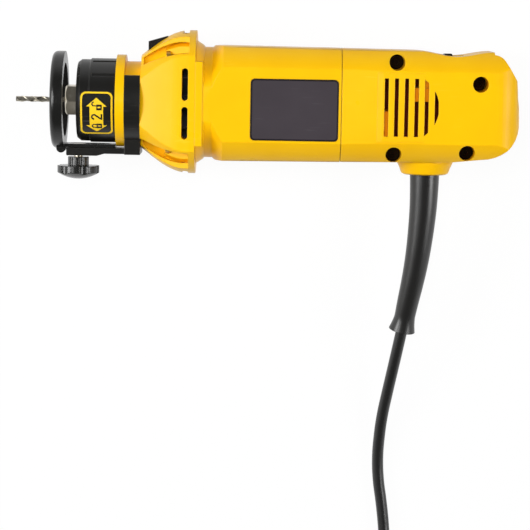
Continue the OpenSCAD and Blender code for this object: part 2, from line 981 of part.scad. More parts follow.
module depth_knob() {
    rim_h = 4.2;
    dome = knob_h - rim_h;
    dome_r = (knob_r * knob_r + dome * dome) / (2 * dome);
    dome_angle = asin(knob_r / dome_r);
    head = -knob_head_top;
    color(black)
        on_floor()
            translate([knob_x, 0, 0])
                rotate([90, 0, 0]) {
                    difference() {
                        rotate_extrude()
                            polygon(concat(
                                [[0, head], [knob_r, head]],
                                arc([0, head + knob_h - dome_r], dome_r, 90 - dome_angle, 90, 5)
                            ));
                        for (i = [0 : 5])
                            rotate([0, 0, 60 * i + 10])
                                translate([knob_r + 1.8, 0, head - eps])
                                    cylinder(r = 3.4, h = knob_h + 1);
                        translate([0, 0, head - eps])
                            cylinder(r = stud_r, h = stud_sunk + eps);
                    }
                    difference() {
                        translate([0, 0, -knob_neck_top])
                            cylinder(r = knob_r / 2, h = neck_h + eps);
                        for (i = [0 : 5])
                            rotate([0, 0, 60 * i + 10])
                                translate([knob_r / 2 + 0.5, 0, -knob_neck_top - eps])
                                    cylinder(r = 1.4, h = neck_h + eps);
                        translate([0, 0, -knob_neck_top - eps])
                            cylinder(r = stud_r, h = neck_h + 2 * eps);
                    }
                }
}

// A headed stud up through the arm and the tongue, moulded into the knob
module depth_stud() {
    tip = -tongue_top + stud_head_gap;
    color(steel)
        on_floor()
            translate([knob_x, 0, 0])
                rotate([90, 0, 0])
                    translate([0, 0, tip]) {
                        cylinder(r = stud_r, h = -knob_head_top + stud_sunk - tip);
                        cylinder(r = stud_head_r, h = stud_head_t);
                    }
}

// Spindle: bit, collet, nut, shaft, fan, armature and commutator turn together
bit_r = bit_d / 2;
bit_end = 24;
bit_flute_end = 2;
bit_twist = 340;
nut_x = 7.7;
nut_hex_end = sleeve_x + sleeve_wall_t + 1;
nut_end = nut_hex_end + 7;
nut_skirt_r = 7.9;
shaft_x = 14;
collet_x = nut_x + 2.2;
collet_head_r = shaft_r - 0.4;
socket_r = shaft_r - 1.7;
socket_end = shaft_x + 13;
core_shaft_r = shaft_r + 1;
fan_x = chamber_x + 1.6;
fan_disc_x = motor_x - 3.7;
fan_disc_t = 2;
fan_blades = 9;
hub_r = 7.5;
hub_x = front_bearing_x + front_bearing_w + slide_gap;
commutator_x = handle_x - 5;
commutator_len = 13;
winding_out = 8;
winding_r = armature_r - 1;
slots = 12;
slot_r = 1.8;
slot_at = armature_r - 2.2;
tail_x = commutator_x + commutator_len + 1;
shaft_end = rear_bearing_x + rear_bearing_w + 0.5;

module cutting_bit() {
    color(steel)
        on_floor() {
            rod_x(bit_flute_end, bit_end - bit_flute_end, bit_r);
            translate([-bit_reach, 0, 0])
                rotate([0, 90, 0])
                    linear_extrude(bit_flute_end + bit_reach, twist = bit_twist, slices = 24)
                        difference() {
                            circle(r = bit_r, $fn = 10);
                            translate([bit_r * 1.1, 0])
                                circle(r = bit_r * 0.75, $fn = 8);
                        }
        }
}

module collet() {
    color(steel)
        on_floor()
            difference() {
                around_spindle([
                    [bit_r, collet_x], [collet_head_r - 1, collet_x], [collet_head_r, shaft_x],
                    [socket_r, shaft_x], [socket_r, socket_end - 1], [bit_r, socket_end - 1]
                ]);
                for (a = [0, 90])
                    rotate([a, 0, 0])
                        block([collet_x - eps, -0.3, -collet_head_r], [shaft_x + 6, 0.3, collet_head_r]);
            }
}

module collet_nut() {
    chamfer = 1.4;
    color(steel)
        on_floor()
            difference() {
                union() {
                    intersection() {
                        translate([nut_x, 0, 0])
                            rotate([0, 90, 0])
                                rotate([0, 0, 4])
                                    cylinder(r = nut_corner_r, h = nut_hex_end - nut_x, $fn = 6);
                        around_spindle([
                            [0, nut_x], [nut_af / 2 - chamfer / 2, nut_x], [nut_corner_r, nut_x + chamfer],
                            [nut_corner_r, nut_hex_end], [0, nut_hex_end]
                        ]);
                    }
                    rod_x(nut_hex_end - eps, nut_end - nut_hex_end + eps, nut_skirt_r);
                }
                rod_x(nut_x - eps, nut_end, bit_r + slide_gap);
                rod_x(collet_x, nut_end, shaft_r);
            }
}

module armature_shaft() {
    color(steel)
        on_floor()
            difference() {
                around_spindle([
                    [0, shaft_x], [shaft_r, shaft_x], [shaft_r, field_x - winding_out],
                    [core_shaft_r, field_x - winding_out], [core_shaft_r, field_end + winding_out],
                    [shaft_r, field_end + winding_out], [shaft_r, tail_x], [tail_r, tail_x],
                    [tail_r, shaft_end], [0, shaft_end]
                ]);
                rod_x(shaft_x - eps, socket_end - shaft_x + eps, socket_r);
            }
}

module winding_places() {
    for (i = [0 : slots - 1])
        rotate([360 / slots * i, 0, 0])
            translate([0, 0, slot_at])
                children();
}

module armature_core() {
    color(steel)
        on_floor()
            difference() {
                tube_x(field_x, stack_len, armature_r, core_shaft_r);
                winding_places() {
                    rod_x(field_x - eps, stack_len + 2 * eps, slot_r);
                    block([field_x - eps, -0.6, 0], [field_end + eps, 0.6, armature_r]);
                }
            }
}

module armature_windings() {
    color(copper)
        on_floor()
            for (x = [field_x - winding_out, field_end])
                around_spindle([
                    [core_shaft_r, x], [winding_r - 2, x], [winding_r, x + 2],
                    [winding_r, x + winding_out - 2],
                    [winding_r - 2, x + winding_out], [core_shaft_r, x + winding_out]
                ]);
}

module commutator() {
    color(copper)
        on_floor()
            difference() {
                tube_x(commutator_x, commutator_len, commutator_r, shaft_r);
                for (i = [0 : slots - 1])
                    rotate([360 / slots * i, 0, 0])
                        block([commutator_x - eps, -0.25, commutator_r - 1],
                            [tail_x, 0.25, commutator_r + 1]);
            }
}

module cooling_fan() {
    color([0.2, 0.2, 0.22])
        on_floor() {
            tube_x(hub_x, fan_disc_x + fan_disc_t - hub_x, hub_r, shaft_r);
            tube_x(fan_disc_x, fan_disc_t, fan_r, hub_r - eps);
            for (i = [0 : fan_blades - 1])
                rotate([360 / fan_blades * i, 0, 0])
                    translate([0, 0, hub_r - eps])
                        block([fan_x, -0.8, 0], [fan_disc_x + eps, 0.8, fan_r - hub_r - eps]);
        }
}

// A sealed bearing with a groove between its rings on both faces
module bearing(x, w, r, bore_r) {
    mid = (r + bore_r) / 2;
    band = (r - bore_r) / 5;
    color(steel)
        on_floor()
            difference() {
                tube_x(x, w, r, bore_r);
                for (face = [x - eps, x + w - 0.6])
                    tube_x(face, eps + 0.6, mid + band, mid - band);
            }
}

module front_bearing() {
    bearing(front_bearing_x, front_bearing_w, front_bearing_r, shaft_r + run_gap);
}

module rear_bearing() {
    bearing(rear_bearing_x, rear_bearing_w, rear_bearing_r, tail_r + run_gap);
}

// Field: a stack with two pole windows and a coil round each pole
field_bore_r = armature_r + air_gap;
coil_in_r = field_bore_r + 0.6;
coil_out_r = field_r - 4.6;
window_half = 9;
coil_out = 6;

module field_core() {
    color(steel)
        on_floor()
            difference() {
                tube_x(field_x, stack_len, field_r, field_bore_r);
                both_sides()
                    block([field_x - eps, -window_half, 0], [field_end + eps, window_half, coil_out_r + 0.3]);
            }
}

module field_coils() {
    color(copper)
        on_floor()
            top_and_bottom()
                difference() {
                    intersection() {
                        tube_x(field_x - coil_out, stack_len + 2 * coil_out, coil_out_r, coil_in_r);
                        block([field_x - coil_out, 0.4, -field_r], [field_end + coil_out, field_r, field_r]);
                    }
                    block([field_x - 0.3, window_half - 0.3, -field_r], [field_end + 0.3, field_r, field_r]);
                }
}

module fan_baffle() {
    color(black)
        on_floor()
            tube_x(motor_x + 1.2, 2, field_r, field_bore_r);
}

// Brush gear in the rear spigot
brush_x = handle_x + 1.5;
brush_half_x = 3;
brush_half_z = 3.8;
holder_wall = 1.5;
holder_low = commutator_r + 1.5;
brush_top = commutator_r + (rear_bore_r - commutator_r) * 0.625;

module brush_holders() {
    x0 = brush_x - brush_half_x - holder_wall;
    x1 = brush_x + brush_half_x + holder_wall;
    half_z = brush_half_z + holder_wall;
    color([0.45, 0.25, 0.15])
        on_floor()
            difference() {
                union() {
                    tube_x(x0, x1 - x0, rear_bore_r, rear_bore_r - 3);
                    top_and_bottom()
                        block([x0, holder_low, -half_z], [x1, rear_bore_r - 2.5, half_z]);
                }
                top_and_bottom()
                    block([brush_x - brush_half_x, holder_low - eps, -brush_half_z],
                        [brush_x + brush_half_x, rear_bore_r - 1, brush_half_z]);
            }
}

module carbon_brushes() {
    color([0.12, 0.12, 0.13])
        on_floor()
            difference() {
                top_and_bottom()
                    block([brush_x - brush_half_x, 0, -brush_half_z],
                        [brush_x + brush_half_x, brush_top, brush_half_z]);
                rod_x(brush_x - 2 * brush_half_x, 4 * brush_half_x, commutator_r + run_gap);
            }
}

module brush_springs() {
    color(steel)
        on_floor()
            top_and_bottom()
                translate([brush_x, brush_top, 0])
                    rotate([-90, 0, 0])
                        difference() {
                            cylinder(r = brush_half_x - 0.4, h = rear_bore_r - 1 - brush_top);
                            translate([0, 0, -eps])
                                cylinder(r = brush_half_x - 1.1, h = rear_bore_r);
                        }
}

// Spindle lock button with its pin and spring
lock_top_front = 35.7;
lock_top_rear = 39;
lock_rest = lock_floor + lock_travel + 0.4;
lock_stop_t = 0.9;
lock_stop_y = sqrt(front_bearing_r * front_bearing_r - 9) - 0.4;

module lock_button() {
    color(black)
        on_floor() {
            across(lock_half)
                polygon([
                    [lock_x, lock_rest], [lock_x + lock_len, lock_rest],
                    [lock_x + lock_len, lock_top_rear], [lock_x, lock_top_front]
                ]);
            translate([lock_pin_x, lock_stop_y - lock_stop_t, 0])
                rotate([-90, 0, 0]) {
                    cylinder(r = lock_pin_r, h = lock_rest - lock_stop_y + lock_stop_t + eps);
                    cylinder(r = lock_pin_r + 0.9, h = lock_stop_t);
                }
        }
}

module lock_spring() {
    color(steel)
        on_floor()
            translate([lock_pin_x, lock_floor, 0])
                rotate([-90, 0, 0])
                    difference() {
                        cylinder(r = lock_pin_r + 1.2, h = lock_rest - lock_floor);
                        translate([0, 0, -eps])
                            cylinder(r = lock_pin_r + slide_gap, h = lock_rest);
                    }
}

// Thumb switch: a slider trapped between the shell and the switch body
lip_top = handle_top - scoop_depth - shell_wall - wall_gap;
switch_high = lip_top - 3;
switch_low = 12;
switch_top = lip_top - lip_h - slide_gap;
cap_top = handle_top - scoop_depth - 0.4;
ridge_top = cap_top + 1.7;
ridge_half = 2.1;

module switch_body() {
    color([0.16, 0.16, 0.17])
        on_floor()
            block([switch_x - lip_half_len, switch_low, -10], [switch_x + cap_half_len + 1, switch_top, 10]);
}

module switch_slider() {
    color(black)
        on_floor() {
            block([switch_x - lip_half_len, lip_top - lip_h, -switch_half - 2],
                [switch_x + lip_half_len, lip_top, switch_half + 2]);
            block([switch_x - cap_half_len, lip_top - eps, -switch_half],
                [switch_x + cap_half_len, cap_top, switch_half]);
            translate([switch_x, 0, 0])
                across(switch_half - 1.5)
                    polygon([
                        [-ridge_half - 1, cap_top - eps], [ridge_half + 1, cap_top - eps],
                        [ridge_half, ridge_top], [-ridge_half, ridge_top]
                    ]);
        }
}

module cord_clamp() {
    color([0.2, 0.2, 0.2])
        on_floor() {
            difference() {
                block([boss_x - clamp_half_len, clamp_low, clamp_z],
                    [boss_x + clamp_half_len, clamp_high, clamp_t]);
                translate([boss_x, clamp_low - eps, 0])
                    rotate([-90, 0, 0])
                        cylinder(r = stub_r, h = clamp_high - clamp_low + 2 * eps);
                clamp_screw_places()
                    cylinder(r = screw_r, h = clamp_t + eps);
            }
            clamp_screw_places() {
                translate([0, 0, -8])
                    cylinder(r = screw_r, h = 8 + clamp_t);
                translate([0, 0, clamp_t])
                    cylinder(r = screw_r + 1, h = 2);
            }
        }
}

// Strain relief, cord, coil, tie and plug. A step of a route is along X and Y from the
// mouth of the boss, and the share of the fall to the floor
relief_steps = [
    [0, 1.9, -0], [0, -7.1, -0], [-0.3, -20.1, 0.0106], [-1.2, -33.1, 0.0317], [-2.5, -46.1, 0.0634],
    [-4, -57.1, 0.1056], [-5.9, -68.1, 0.1585], [-7.9, -78.6, 0.2183], [-9.3, -86.6, 0.2711],
    [-9.7, -89.1, 0.2887], [-10.9, -95.6, 0.3345]
];
relief_taper = 2.6;
relief_flare_r = 8;
cord_steps = [
    [-10.9, -95.6, 0.3345], [-13.4, -109.1, 0.4296], [-15.9, -122.6, 0.5563],
    [-18.5, -136.6, 0.6901], [-20.9, -150.6, 0.8169], [-22.4, -164.6, 0.9155],
    [-23, -178.6, 0.9789], [-22.2, -192.1, 1], [-20.3, -205.1, 1], [-18.8, -217.1, 0.993],
    [-17.7, -230.1, 0.9789], [-16.7, -243.1, 0.9648], [-16.1, -256.1, 0.9613]
];
coil_sides = 6;
cord_sides = 10;
loop_rings = 24;
tie_t = 0.9;
tie_w = 8;
coil_lift = tie_t + slide_gap;
coil_layer = 7.5;
coil_all = 2 * coil_turns + 0.5;
coil_outer_r = coil_inner_r + coil_pitch * coil_all / 2;
coil_y = -boss_reach - 287.1;
coil_x = boss_x - 73.1;
coil_low = -side_half + coil_lift + cord_d / 2;
tail_len = 46;
plug_len = 38;
blade_at = 6.35;
blade_len = 17;
blade_w = 6.3;
blade_t = 1.5;

function route(steps) =
    [for (p = steps) [boss_x + p[0], p[1] - boss_reach, p[2] * (cord_d / 2 + 0.1 - side_half)]];
relief_route = route(relief_steps);
cord_route = route(cord_steps);

function unit(v) = v / norm(v);
function heading(p, i) = unit(p[min(i + 1, len(p) - 1)] - p[max(i - 1, 0)]);
function sideways(p, i) = unit(cross(heading(p, i), [0, 0, 1]));

// A closed tube through the points, with a radius at each point
module sweep(points, radii, sides) {
    n = len(points);
    rings = [
        for (i = [0 : n - 1], k = [0 : sides - 1])
            let (a = 360 * k / sides, s = sideways(points, i), u = cross(s, heading(points, i)))
            points[i] + radii[i] * (cos(a) * s + sin(a) * u)
    ];
    walls = [
        for (i = [0 : n - 2], k = [0 : sides - 1])
            let (a = i * sides + k, b = i * sides + (k + 1) % sides)
            each [[a, b, b + sides], [a, b + sides, a + sides]]
    ];
    front = [for (k = [1 : sides - 2]) [0, k + 1, k]];
    last = (n - 1) * sides;
    back = [for (k = [1 : sides - 2]) [last, last + k, last + k + 1]];
    polyhedron(rings, concat(walls, front, back));
}

// Share of the climb between the two layers done after a number of turns
function climb(turn) =
    let (t = min(max((turn - coil_turns) / 0.5, 0), 1)) t * t * (3 - 2 * t);

function coil_point(turn) =
    let (r = coil_inner_r + coil_pitch * abs(turn - coil_all / 2), a = -360 * turn)
    [coil_x + r * cos(a), coil_y + r * sin(a), coil_low + coil_layer * climb(turn)];

coil_start = coil_point(0) + [0, cord_d, 0];
coil_end = coil_point(coil_all) - [0, tail_len, 0];
coil_route = concat(
    [coil_start],
    [for (i = [0 : coil_all * loop_rings]) coil_point(i / loop_rings)],
    [coil_end + [0, cord_d, 0], coil_end]
);
cord_path = concat(cord_route, [coil_start + [0, 2 * cord_d, 0], coil_start]);

module strain_relief() {
    n = len(relief_route);
    radii = [
        for (i = [0 : n - 1])
            i > n - 3 ? relief_flare_r : sleeve_root_r - 0.05 - relief_taper * max(i - 1, 0) / (n - 4)
    ];
    color(black)
        on_floor() {
            sweep(relief_route, radii, 12);
            translate([boss_x, 0, 0])
                rotate([90, 0, 0]) {
                    translate([0, 0, -clamp_high])
                        cylinder(r = stub_r, h = clamp_high - root_flange_y + eps);
                    translate([0, 0, -root_flange_y])
                        cylinder(r = root_flange_r, h = root_flange_t);
                    translate([0, 0, -root_flange_y])
                        cylinder(r = sleeve_root_r, h = boss_reach + root_flange_y + 1);
                }
        }
}

module cord_lead() {
    color(black)
        on_floor()
            sweep(cord_path, [for (p = cord_path) cord_d / 2], cord_sides);
}

module cord_coil() {
    color(black)
        on_floor()
            sweep(coil_route, [for (p = coil_route) cord_d / 2], coil_sides);
}

// A band round all turns at the lower edge of the coil
module cord_tie() {
    inner = coil_inner_r - cord_d / 2;
    outer = coil_outer_r + cord_d / 2;
    high = coil_lift + cord_d + coil_layer + slide_gap;
    color([0.2, 0.2, 0.2])
        on_floor()
            translate([coil_x - tie_w / 2, coil_y - outer, -side_half])
                difference() {
                    cube([tie_w, outer - inner, high + tie_t]);
                    translate([-eps, tie_t, tie_t])
                        cube([tie_w + 2 * eps, outer - inner - 2 * tie_t, high - tie_t]);
                }
}

plug_axis = coil_lift + cord_d / 2 + coil_layer;

module plug_body() {
    color(black)
        on_floor()
            translate(coil_end)
                rotate([90, 0, 0])
                    intersection() {
                        rotate_extrude()
                            polygon([
                                [0, 0], [5, 0], [6, 12], [plug_axis - 2, 15], [plug_axis, 18],
                                [plug_axis, plug_len - 1.5], [plug_axis - 1.5, plug_len], [0, plug_len]
                            ]);
                        translate([-plug_axis + 2.5, -plug_axis, 0])
                            cube([2 * plug_axis - 5, 2 * plug_axis, plug_len]);
                    }
}

module plug_blades() {
    color(steel)
        on_floor()
            translate(coil_end - [0, plug_len, 0])
                for (s = [-1, 1])
                    block([s * blade_at - blade_t / 2, -blade_len, -blade_w / 2],
                        [s * blade_at + blade_t / 2, 0, blade_w / 2]);
}

front_housing();
motor_housing();
handle_shell_near();
handle_shell_far();
handle_screws();
housing_screws();
guide_bracket();
bracket_screws();
depth_foot();
depth_knob();
depth_stud();
nose_sleeve();
sleeve_clip();
collet_nut();
collet();
cutting_bit();
armature_shaft();
armature_core();
armature_windings();
commutator();
cooling_fan();
front_bearing();
rear_bearing();
field_core();
field_coils();
fan_baffle();
brush_holders();
carbon_brushes();
brush_springs();
lock_button();
lock_spring();
switch_body();
switch_slider();
rear_inlay();
label_plate();
cord_clamp();
strain_relief();
cord_lead();
cord_coil();
cord_tie();
plug_body();
plug_blades();
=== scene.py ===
"""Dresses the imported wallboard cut-out tool and sets it in a white studio."""
import logging
import math
from dataclasses import dataclass
from enum import Enum
from typing import Callable, Sequence

import bmesh
import bpy
from mathutils import Matrix, Vector


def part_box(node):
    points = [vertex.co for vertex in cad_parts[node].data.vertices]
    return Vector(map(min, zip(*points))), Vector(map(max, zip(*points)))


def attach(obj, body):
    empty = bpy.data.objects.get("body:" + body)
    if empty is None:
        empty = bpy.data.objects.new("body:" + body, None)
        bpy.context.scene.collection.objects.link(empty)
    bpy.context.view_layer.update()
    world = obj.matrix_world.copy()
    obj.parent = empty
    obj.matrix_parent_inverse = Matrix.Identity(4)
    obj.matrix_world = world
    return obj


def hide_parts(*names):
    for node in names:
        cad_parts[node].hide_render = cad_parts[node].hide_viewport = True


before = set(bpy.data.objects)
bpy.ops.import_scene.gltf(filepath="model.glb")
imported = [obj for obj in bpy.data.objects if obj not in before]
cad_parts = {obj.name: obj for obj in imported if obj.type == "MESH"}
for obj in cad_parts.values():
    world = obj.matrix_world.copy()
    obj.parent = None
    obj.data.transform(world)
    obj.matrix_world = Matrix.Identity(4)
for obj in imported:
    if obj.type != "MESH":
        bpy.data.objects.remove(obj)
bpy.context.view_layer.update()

LOG = logging.getLogger("cut_out_tool")
Colour = tuple[float, float, float]
Point = tuple[float, float, float]
Flat = tuple[float, float]
Block = tuple[Point, Point]

# Where the front face of the foot, on the spindle, lies in the row frame, in millimetres
TOOL_ORIGIN = Vector((-127.5, 2.3, 32.0))
# Sizes and places of the tool's pieces are in millimetres, and this makes them metres
MM = 0.001
# Edges past these angles stay sharp, in degrees, on copies of solids and on meshes made here
SOLID_ANGLE = 32.0
MADE_ANGLE = 40.0
# Points of a solid closer than this are one, and faces thinner than this go, in metres
MERGE_DISTANCE = 2e-6
SLIVER = 1e-6
WHITE = (1.0, 1.0, 1.0, 1.0)
ORIGIN = Vector()
UNTURNED = Matrix.Identity(3)
QUARTER_X, QUARTER_Y, QUARTER_Z = (Matrix.Rotation(math.radians(90), 3, axis) for axis in "XYZ")
# Stands a flat design in XY up in YZ, with its levels along X
UPRIGHT = Matrix(((0, 0, 1), (1, 0, 0), (0, 1, 0)))


def at(x: float, y: float, z: float = 0.0) -> Vector:
    """Place of a point of the tool in the row frame.

    Args:
        x: Millimetres behind the front face of the foot.
        y: Millimetres towards the thumb switch from the spindle.
        z: Millimetres above the spindle.

    Returns:
        The point in metres.
    """
    return (TOOL_ORIGIN + Vector((x, y, z))) * MM


class Grain(Enum):
    """What the surface of a finish shows close up."""

    MOULDED = "moulded"
    TURNED = "turned"
    STACKED = "stacked"


class NodeDesk:
    """Short words for making nodes and links in one tree."""

    def __init__(self, tree: bpy.types.NodeTree) -> None:
        """Keeps the tree that the nodes go into."""
        self.tree = tree

    def add(self, kind: str, inputs: dict | None = None, **settings: object) -> bpy.types.Node:
        """Adds a node.

        Args:
            kind: The node's type name.
            inputs: Values or sockets for its inputs, by name or number.
            settings: Values for the node's own properties.

        Returns:
            The new node.
        """
        node = self.tree.nodes.new(kind)
        for key, value in settings.items():
            setattr(node, key, value)
        for key, value in (inputs or {}).items():
            self.put(node, key, value)
        return node

    def put(self, node: bpy.types.Node, key: str | int, value: object) -> None:
        """Links a socket to an input, or sets the input's own value.

        Args:
            node: The node.
            key: The input's name or number.
            value: The socket or the value.
        """
        if isinstance(value, bpy.types.NodeSocket):
            self.tree.links.new(value, node.inputs[key])
        else:
            node.inputs[key].default_value = value

    def math(self, operation: str, a: object, b: object) -> bpy.types.NodeSocket:
        """Result of a Math node on two values or sockets."""
        return self.add("ShaderNodeMath", {0: a, 1: b}, operation=operation).outputs[0]

    def span(self, value: object, low: float, high: float,
             to_low: float = 0.0, to_high: float = 1.0) -> bpy.types.NodeSocket:
        """Result of a Map Range node that clamps."""
        return self.add("ShaderNodeMapRange", {"Value": value, "From Min": low, "From Max": high,
                                               "To Min": to_low, "To Max": to_high}).outputs[0]

    def noise(self, place: bpy.types.NodeSocket, scale: object, detail: float) -> bpy.types.NodeSocket:
        """Strength of a Noise Texture at a place."""
        inputs = {"Vector": place, "Scale": scale, "Detail": detail}
        return self.add("ShaderNodeTexNoise", inputs).outputs["Fac"]

    def vector(self, axis: str, value: object) -> bpy.types.NodeSocket:
        """Vector along one axis."""
        return self.add("ShaderNodeCombineXYZ", {axis: value}).outputs[0]

    def mix(self, share: bpy.types.NodeSocket, a: object, b: object) -> bpy.types.NodeSocket:
        """Adds a colour Mix node.

        Args:
            share: How much of the second colour shows.
            a: The first colour, or its socket.
            b: The second colour, or its socket.

        Returns:
            The socket of the mixed colour.
        """
        first, second = (c if isinstance(c, bpy.types.NodeSocket) else (*c, 1.0) for c in (a, b))
        return self.add("ShaderNodeMix", {0: share, 6: first, 7: second}, data_type="RGBA").outputs[2]


def shader_group(name: str, inputs: dict[str, float], outputs: dict[str, str],
                 fill: Callable[[NodeDesk, bpy.types.Node, bpy.types.Node], None]) -> bpy.types.NodeTree:
    """Builds a shader node group once.

    Args:
        name: The group's name.
        inputs: Its float inputs and their values.
        outputs: Its outputs and their socket types.
        fill: Makes the nodes between the group's input and output nodes.

    Returns:
        The group.
    """
    if name in bpy.data.node_groups:
        return bpy.data.node_groups[name]
    group = bpy.data.node_groups.new(name, "ShaderNodeTree")
    for key, value in inputs.items():
        group.interface.new_socket(key, in_out="INPUT", socket_type="NodeSocketFloat").default_value = value
    for key, kind in outputs.items():
        group.interface.new_socket(key, in_out="OUTPUT", socket_type=kind)
    desk = NodeDesk(group)
    fill(desk, desk.add("NodeGroupInput"), desk.add("NodeGroupOutput"))
    return group


def fill_soft_edge(desk: NodeDesk, given: bpy.types.Node, out: bpy.types.Node) -> None:
    """Rounds edges in the normal and marks where they are.

    Args:
        desk: Makes the nodes.
        given: The group's input node.
        out: The group's output node.
    """
    flat_cosine, edge_cosine = 0.99, 0.72
    bevel = desk.add("ShaderNodeBevel", {"Radius": given.outputs["Radius"]}, samples=6).outputs[0]
    flat = desk.add("ShaderNodeNewGeometry").outputs["Normal"]
    along = desk.add("ShaderNodeVectorMath", {0: bevel, 1: flat}, operation="DOT_PRODUCT").outputs["Value"]
    desk.put(out, "Normal", bevel)
    desk.put(out, "Edge", desk.span(along, flat_cosine, edge_cosine))


def fill_moulded_grain(desk: NodeDesk, given: bpy.types.Node, out: bpy.types.Node) -> None:
    """Makes fine grain, slow blotches and light scuffs, for moulded plastic and rubber.

    Args:
        desk: Makes the nodes.
        given: The group's input node.
        out: The group's output node.
    """
    blotch_scale = 38.0
    scratch_turn, scratch_scale = (0.4, 0.7, 0.5), (60.0, 900.0, 420.0)
    blotch_span, scratch_span, worn_span = (0.3, 0.7), (0.66, 0.74), (0.5, 0.65)
    place = desk.add("ShaderNodeTexCoord").outputs["Object"]
    fine = desk.noise(place, given.outputs["Scale"], detail=3.0)
    slow = desk.noise(place, blotch_scale, detail=2.0)
    turned = desk.add("ShaderNodeMapping", {"Vector": place, "Rotation": scratch_turn,
                                            "Scale": scratch_scale}).outputs[0]
    scratch = desk.noise(turned, 1.0, detail=1.0)
    worn = desk.math("MULTIPLY", desk.span(scratch, *scratch_span), desk.span(slow, *worn_span))
    desk.put(out, "Height", fine)
    desk.put(out, "Blotch", desk.span(slow, *blotch_span))
    desk.put(out, "Scuff", worn)


def fill_tool_marks(desk: NodeDesk, given: bpy.types.Node, out: bpy.types.Node) -> None:
    """Makes lines across the spindle with uneven depth, for turned metal and stacked sheet.

    Args:
        desk: Makes the nodes.
        given: The group's input node.
        out: The group's output node.
    """
    uneven_scale, blotch_scale = 260.0, 70.0
    blotch_span, scuff_span = (0.32, 0.68), (0.56, 0.7)
    place = desk.add("ShaderNodeTexCoord").outputs["Object"]
    along = desk.add("ShaderNodeSeparateXYZ", {0: place}).outputs[0]
    lines = desk.math("SINE", desk.math("MULTIPLY", along, given.outputs["Scale"]), 0.0)
    uneven = desk.noise(place, uneven_scale, detail=4.0)
    slow = desk.noise(place, blotch_scale, detail=2.0)
    desk.put(out, "Height", desk.math("MULTIPLY", desk.span(lines, -1.0, 1.0), uneven))
    desk.put(out, "Blotch", desk.span(slow, *blotch_span))
    desk.put(out, "Scuff", desk.span(uneven, *scuff_span))


@dataclass(frozen=True)
class Finish:
    """One finish of the tool, with what its surface shows close up, its relief and rounding in metres."""

    name: str
    slot: str
    colour: Colour
    shade: Colour
    # Colour of edges and scuffs: rubbed wear, and along the edges also a painted highlight
    edge: Colour
    grain: Grain = Grain.MOULDED
    roughness: float = 0.42
    spread: float = 0.10
    scale: float = 1500.0
    relief: float = 0.00003
    rounding: float = 0.0005
    # How far edges and scuffs take the edge colour: rubbed wear and a painted edge highlight
    wear: float = 0.25
    metallic: float = 0.0
    specular: float = 0.5

    def edge_group(self) -> bpy.types.NodeTree:
        """The group that rounds the edges."""
        outputs = {"Normal": "NodeSocketVector", "Edge": "NodeSocketFloat"}
        return shader_group("soft_edge", {"Radius": self.rounding}, outputs, fill_soft_edge)

    def surface_group(self) -> bpy.types.NodeTree:
        """Builds or finds the group that gives the surface its grain.

        Returns:
            The group.
        """
        outputs = dict.fromkeys(("Height", "Blotch", "Scuff"), "NodeSocketFloat")
        if self.grain is Grain.MOULDED:
            return shader_group("moulded_grain", {"Scale": self.scale}, outputs, fill_moulded_grain)
        return shader_group("tool_marks", {"Scale": self.scale}, outputs, fill_tool_marks)

    def material(self) -> bpy.types.Material:
        """Makes the material, or finds it if it was made before.

        Returns:
            The material.
        """
        if self.name in bpy.data.materials:
            return bpy.data.materials[self.name]
        made = bpy.data.materials.new(self.name)
        made.use_nodes = True
        desk = NodeDesk(made.node_tree)
        shader = made.node_tree.nodes["Principled BSDF"]
        edges = desk.add("ShaderNodeGroup", node_tree=self.edge_group())
        desk.put(edges, "Radius", self.rounding)
        surface = desk.add("ShaderNodeGroup", node_tree=self.surface_group())
        desk.put(surface, "Scale", self.scale)
        blotch = surface.outputs["Blotch"]
        body = desk.mix(blotch, self.shade, self.colour)
        # Edges and scuffs turn to the lighter edge colour: rubbed wear, and along every edge a painted
        # highlight
        marked = desk.math("MAXIMUM", edges.outputs["Edge"], surface.outputs["Scuff"])
        desk.put(shader, "Base Color", desk.mix(desk.math("MULTIPLY", marked, self.wear), body, self.edge))
        half = self.spread / 2
        rough = desk.span(blotch, 0.0, 1.0, self.roughness + half, self.roughness - half)
        desk.put(shader, "Roughness", rough)
        bump = desk.add("ShaderNodeBump", {"Strength": 1.0, "Distance": self.relief,
                                           "Height": surface.outputs["Height"],
                                           "Normal": edges.outputs["Normal"]})
        desk.put(shader, "Normal", bump.outputs[0])
        desk.put(shader, "Metallic", self.metallic)
        desk.put(shader, "Specular IOR Level", self.specular)
        return made


YELLOW = Finish("yellow_shell", "housing_yellow",
                (0.96, 0.54, 0.002), (0.93, 0.505, 0.0015), (1.0, 0.68, 0.06),
                roughness=0.32, relief=0.000006, rounding=0.0008, wear=0.3, specular=0.17)
# Its pale edge colour is partly a painted highlight along the edges
BLACK = Finish("black_moulding", "black_plastic",
               (0.0095, 0.0092, 0.008), (0.0065, 0.0063, 0.0058), (0.10, 0.097, 0.088),
               roughness=0.33, relief=0.000008, wear=0.5, specular=0.42)
GLOSS_BLACK = Finish("knob_moulding", "knob_plastic",
                     (0.012, 0.0125, 0.011), (0.008, 0.008, 0.0075), (0.08, 0.08, 0.075),
                     roughness=0.2, relief=0.000003, rounding=0.001, specular=0.6)
ENAMEL = Finish("foot_enamel", "black_metal",
                (0.010, 0.0098, 0.0088), (0.007, 0.007, 0.0065), (0.10, 0.10, 0.09),
                roughness=0.24, relief=0.000005, wear=0.3, specular=0.42)
STEEL = Finish("turned_steel", "steel", (0.62, 0.57, 0.46), (0.5, 0.455, 0.36), (0.8, 0.76, 0.66),
               Grain.TURNED, roughness=0.36, spread=0.14, relief=0.00001, rounding=0.0003, wear=0.5,
               metallic=1.0)
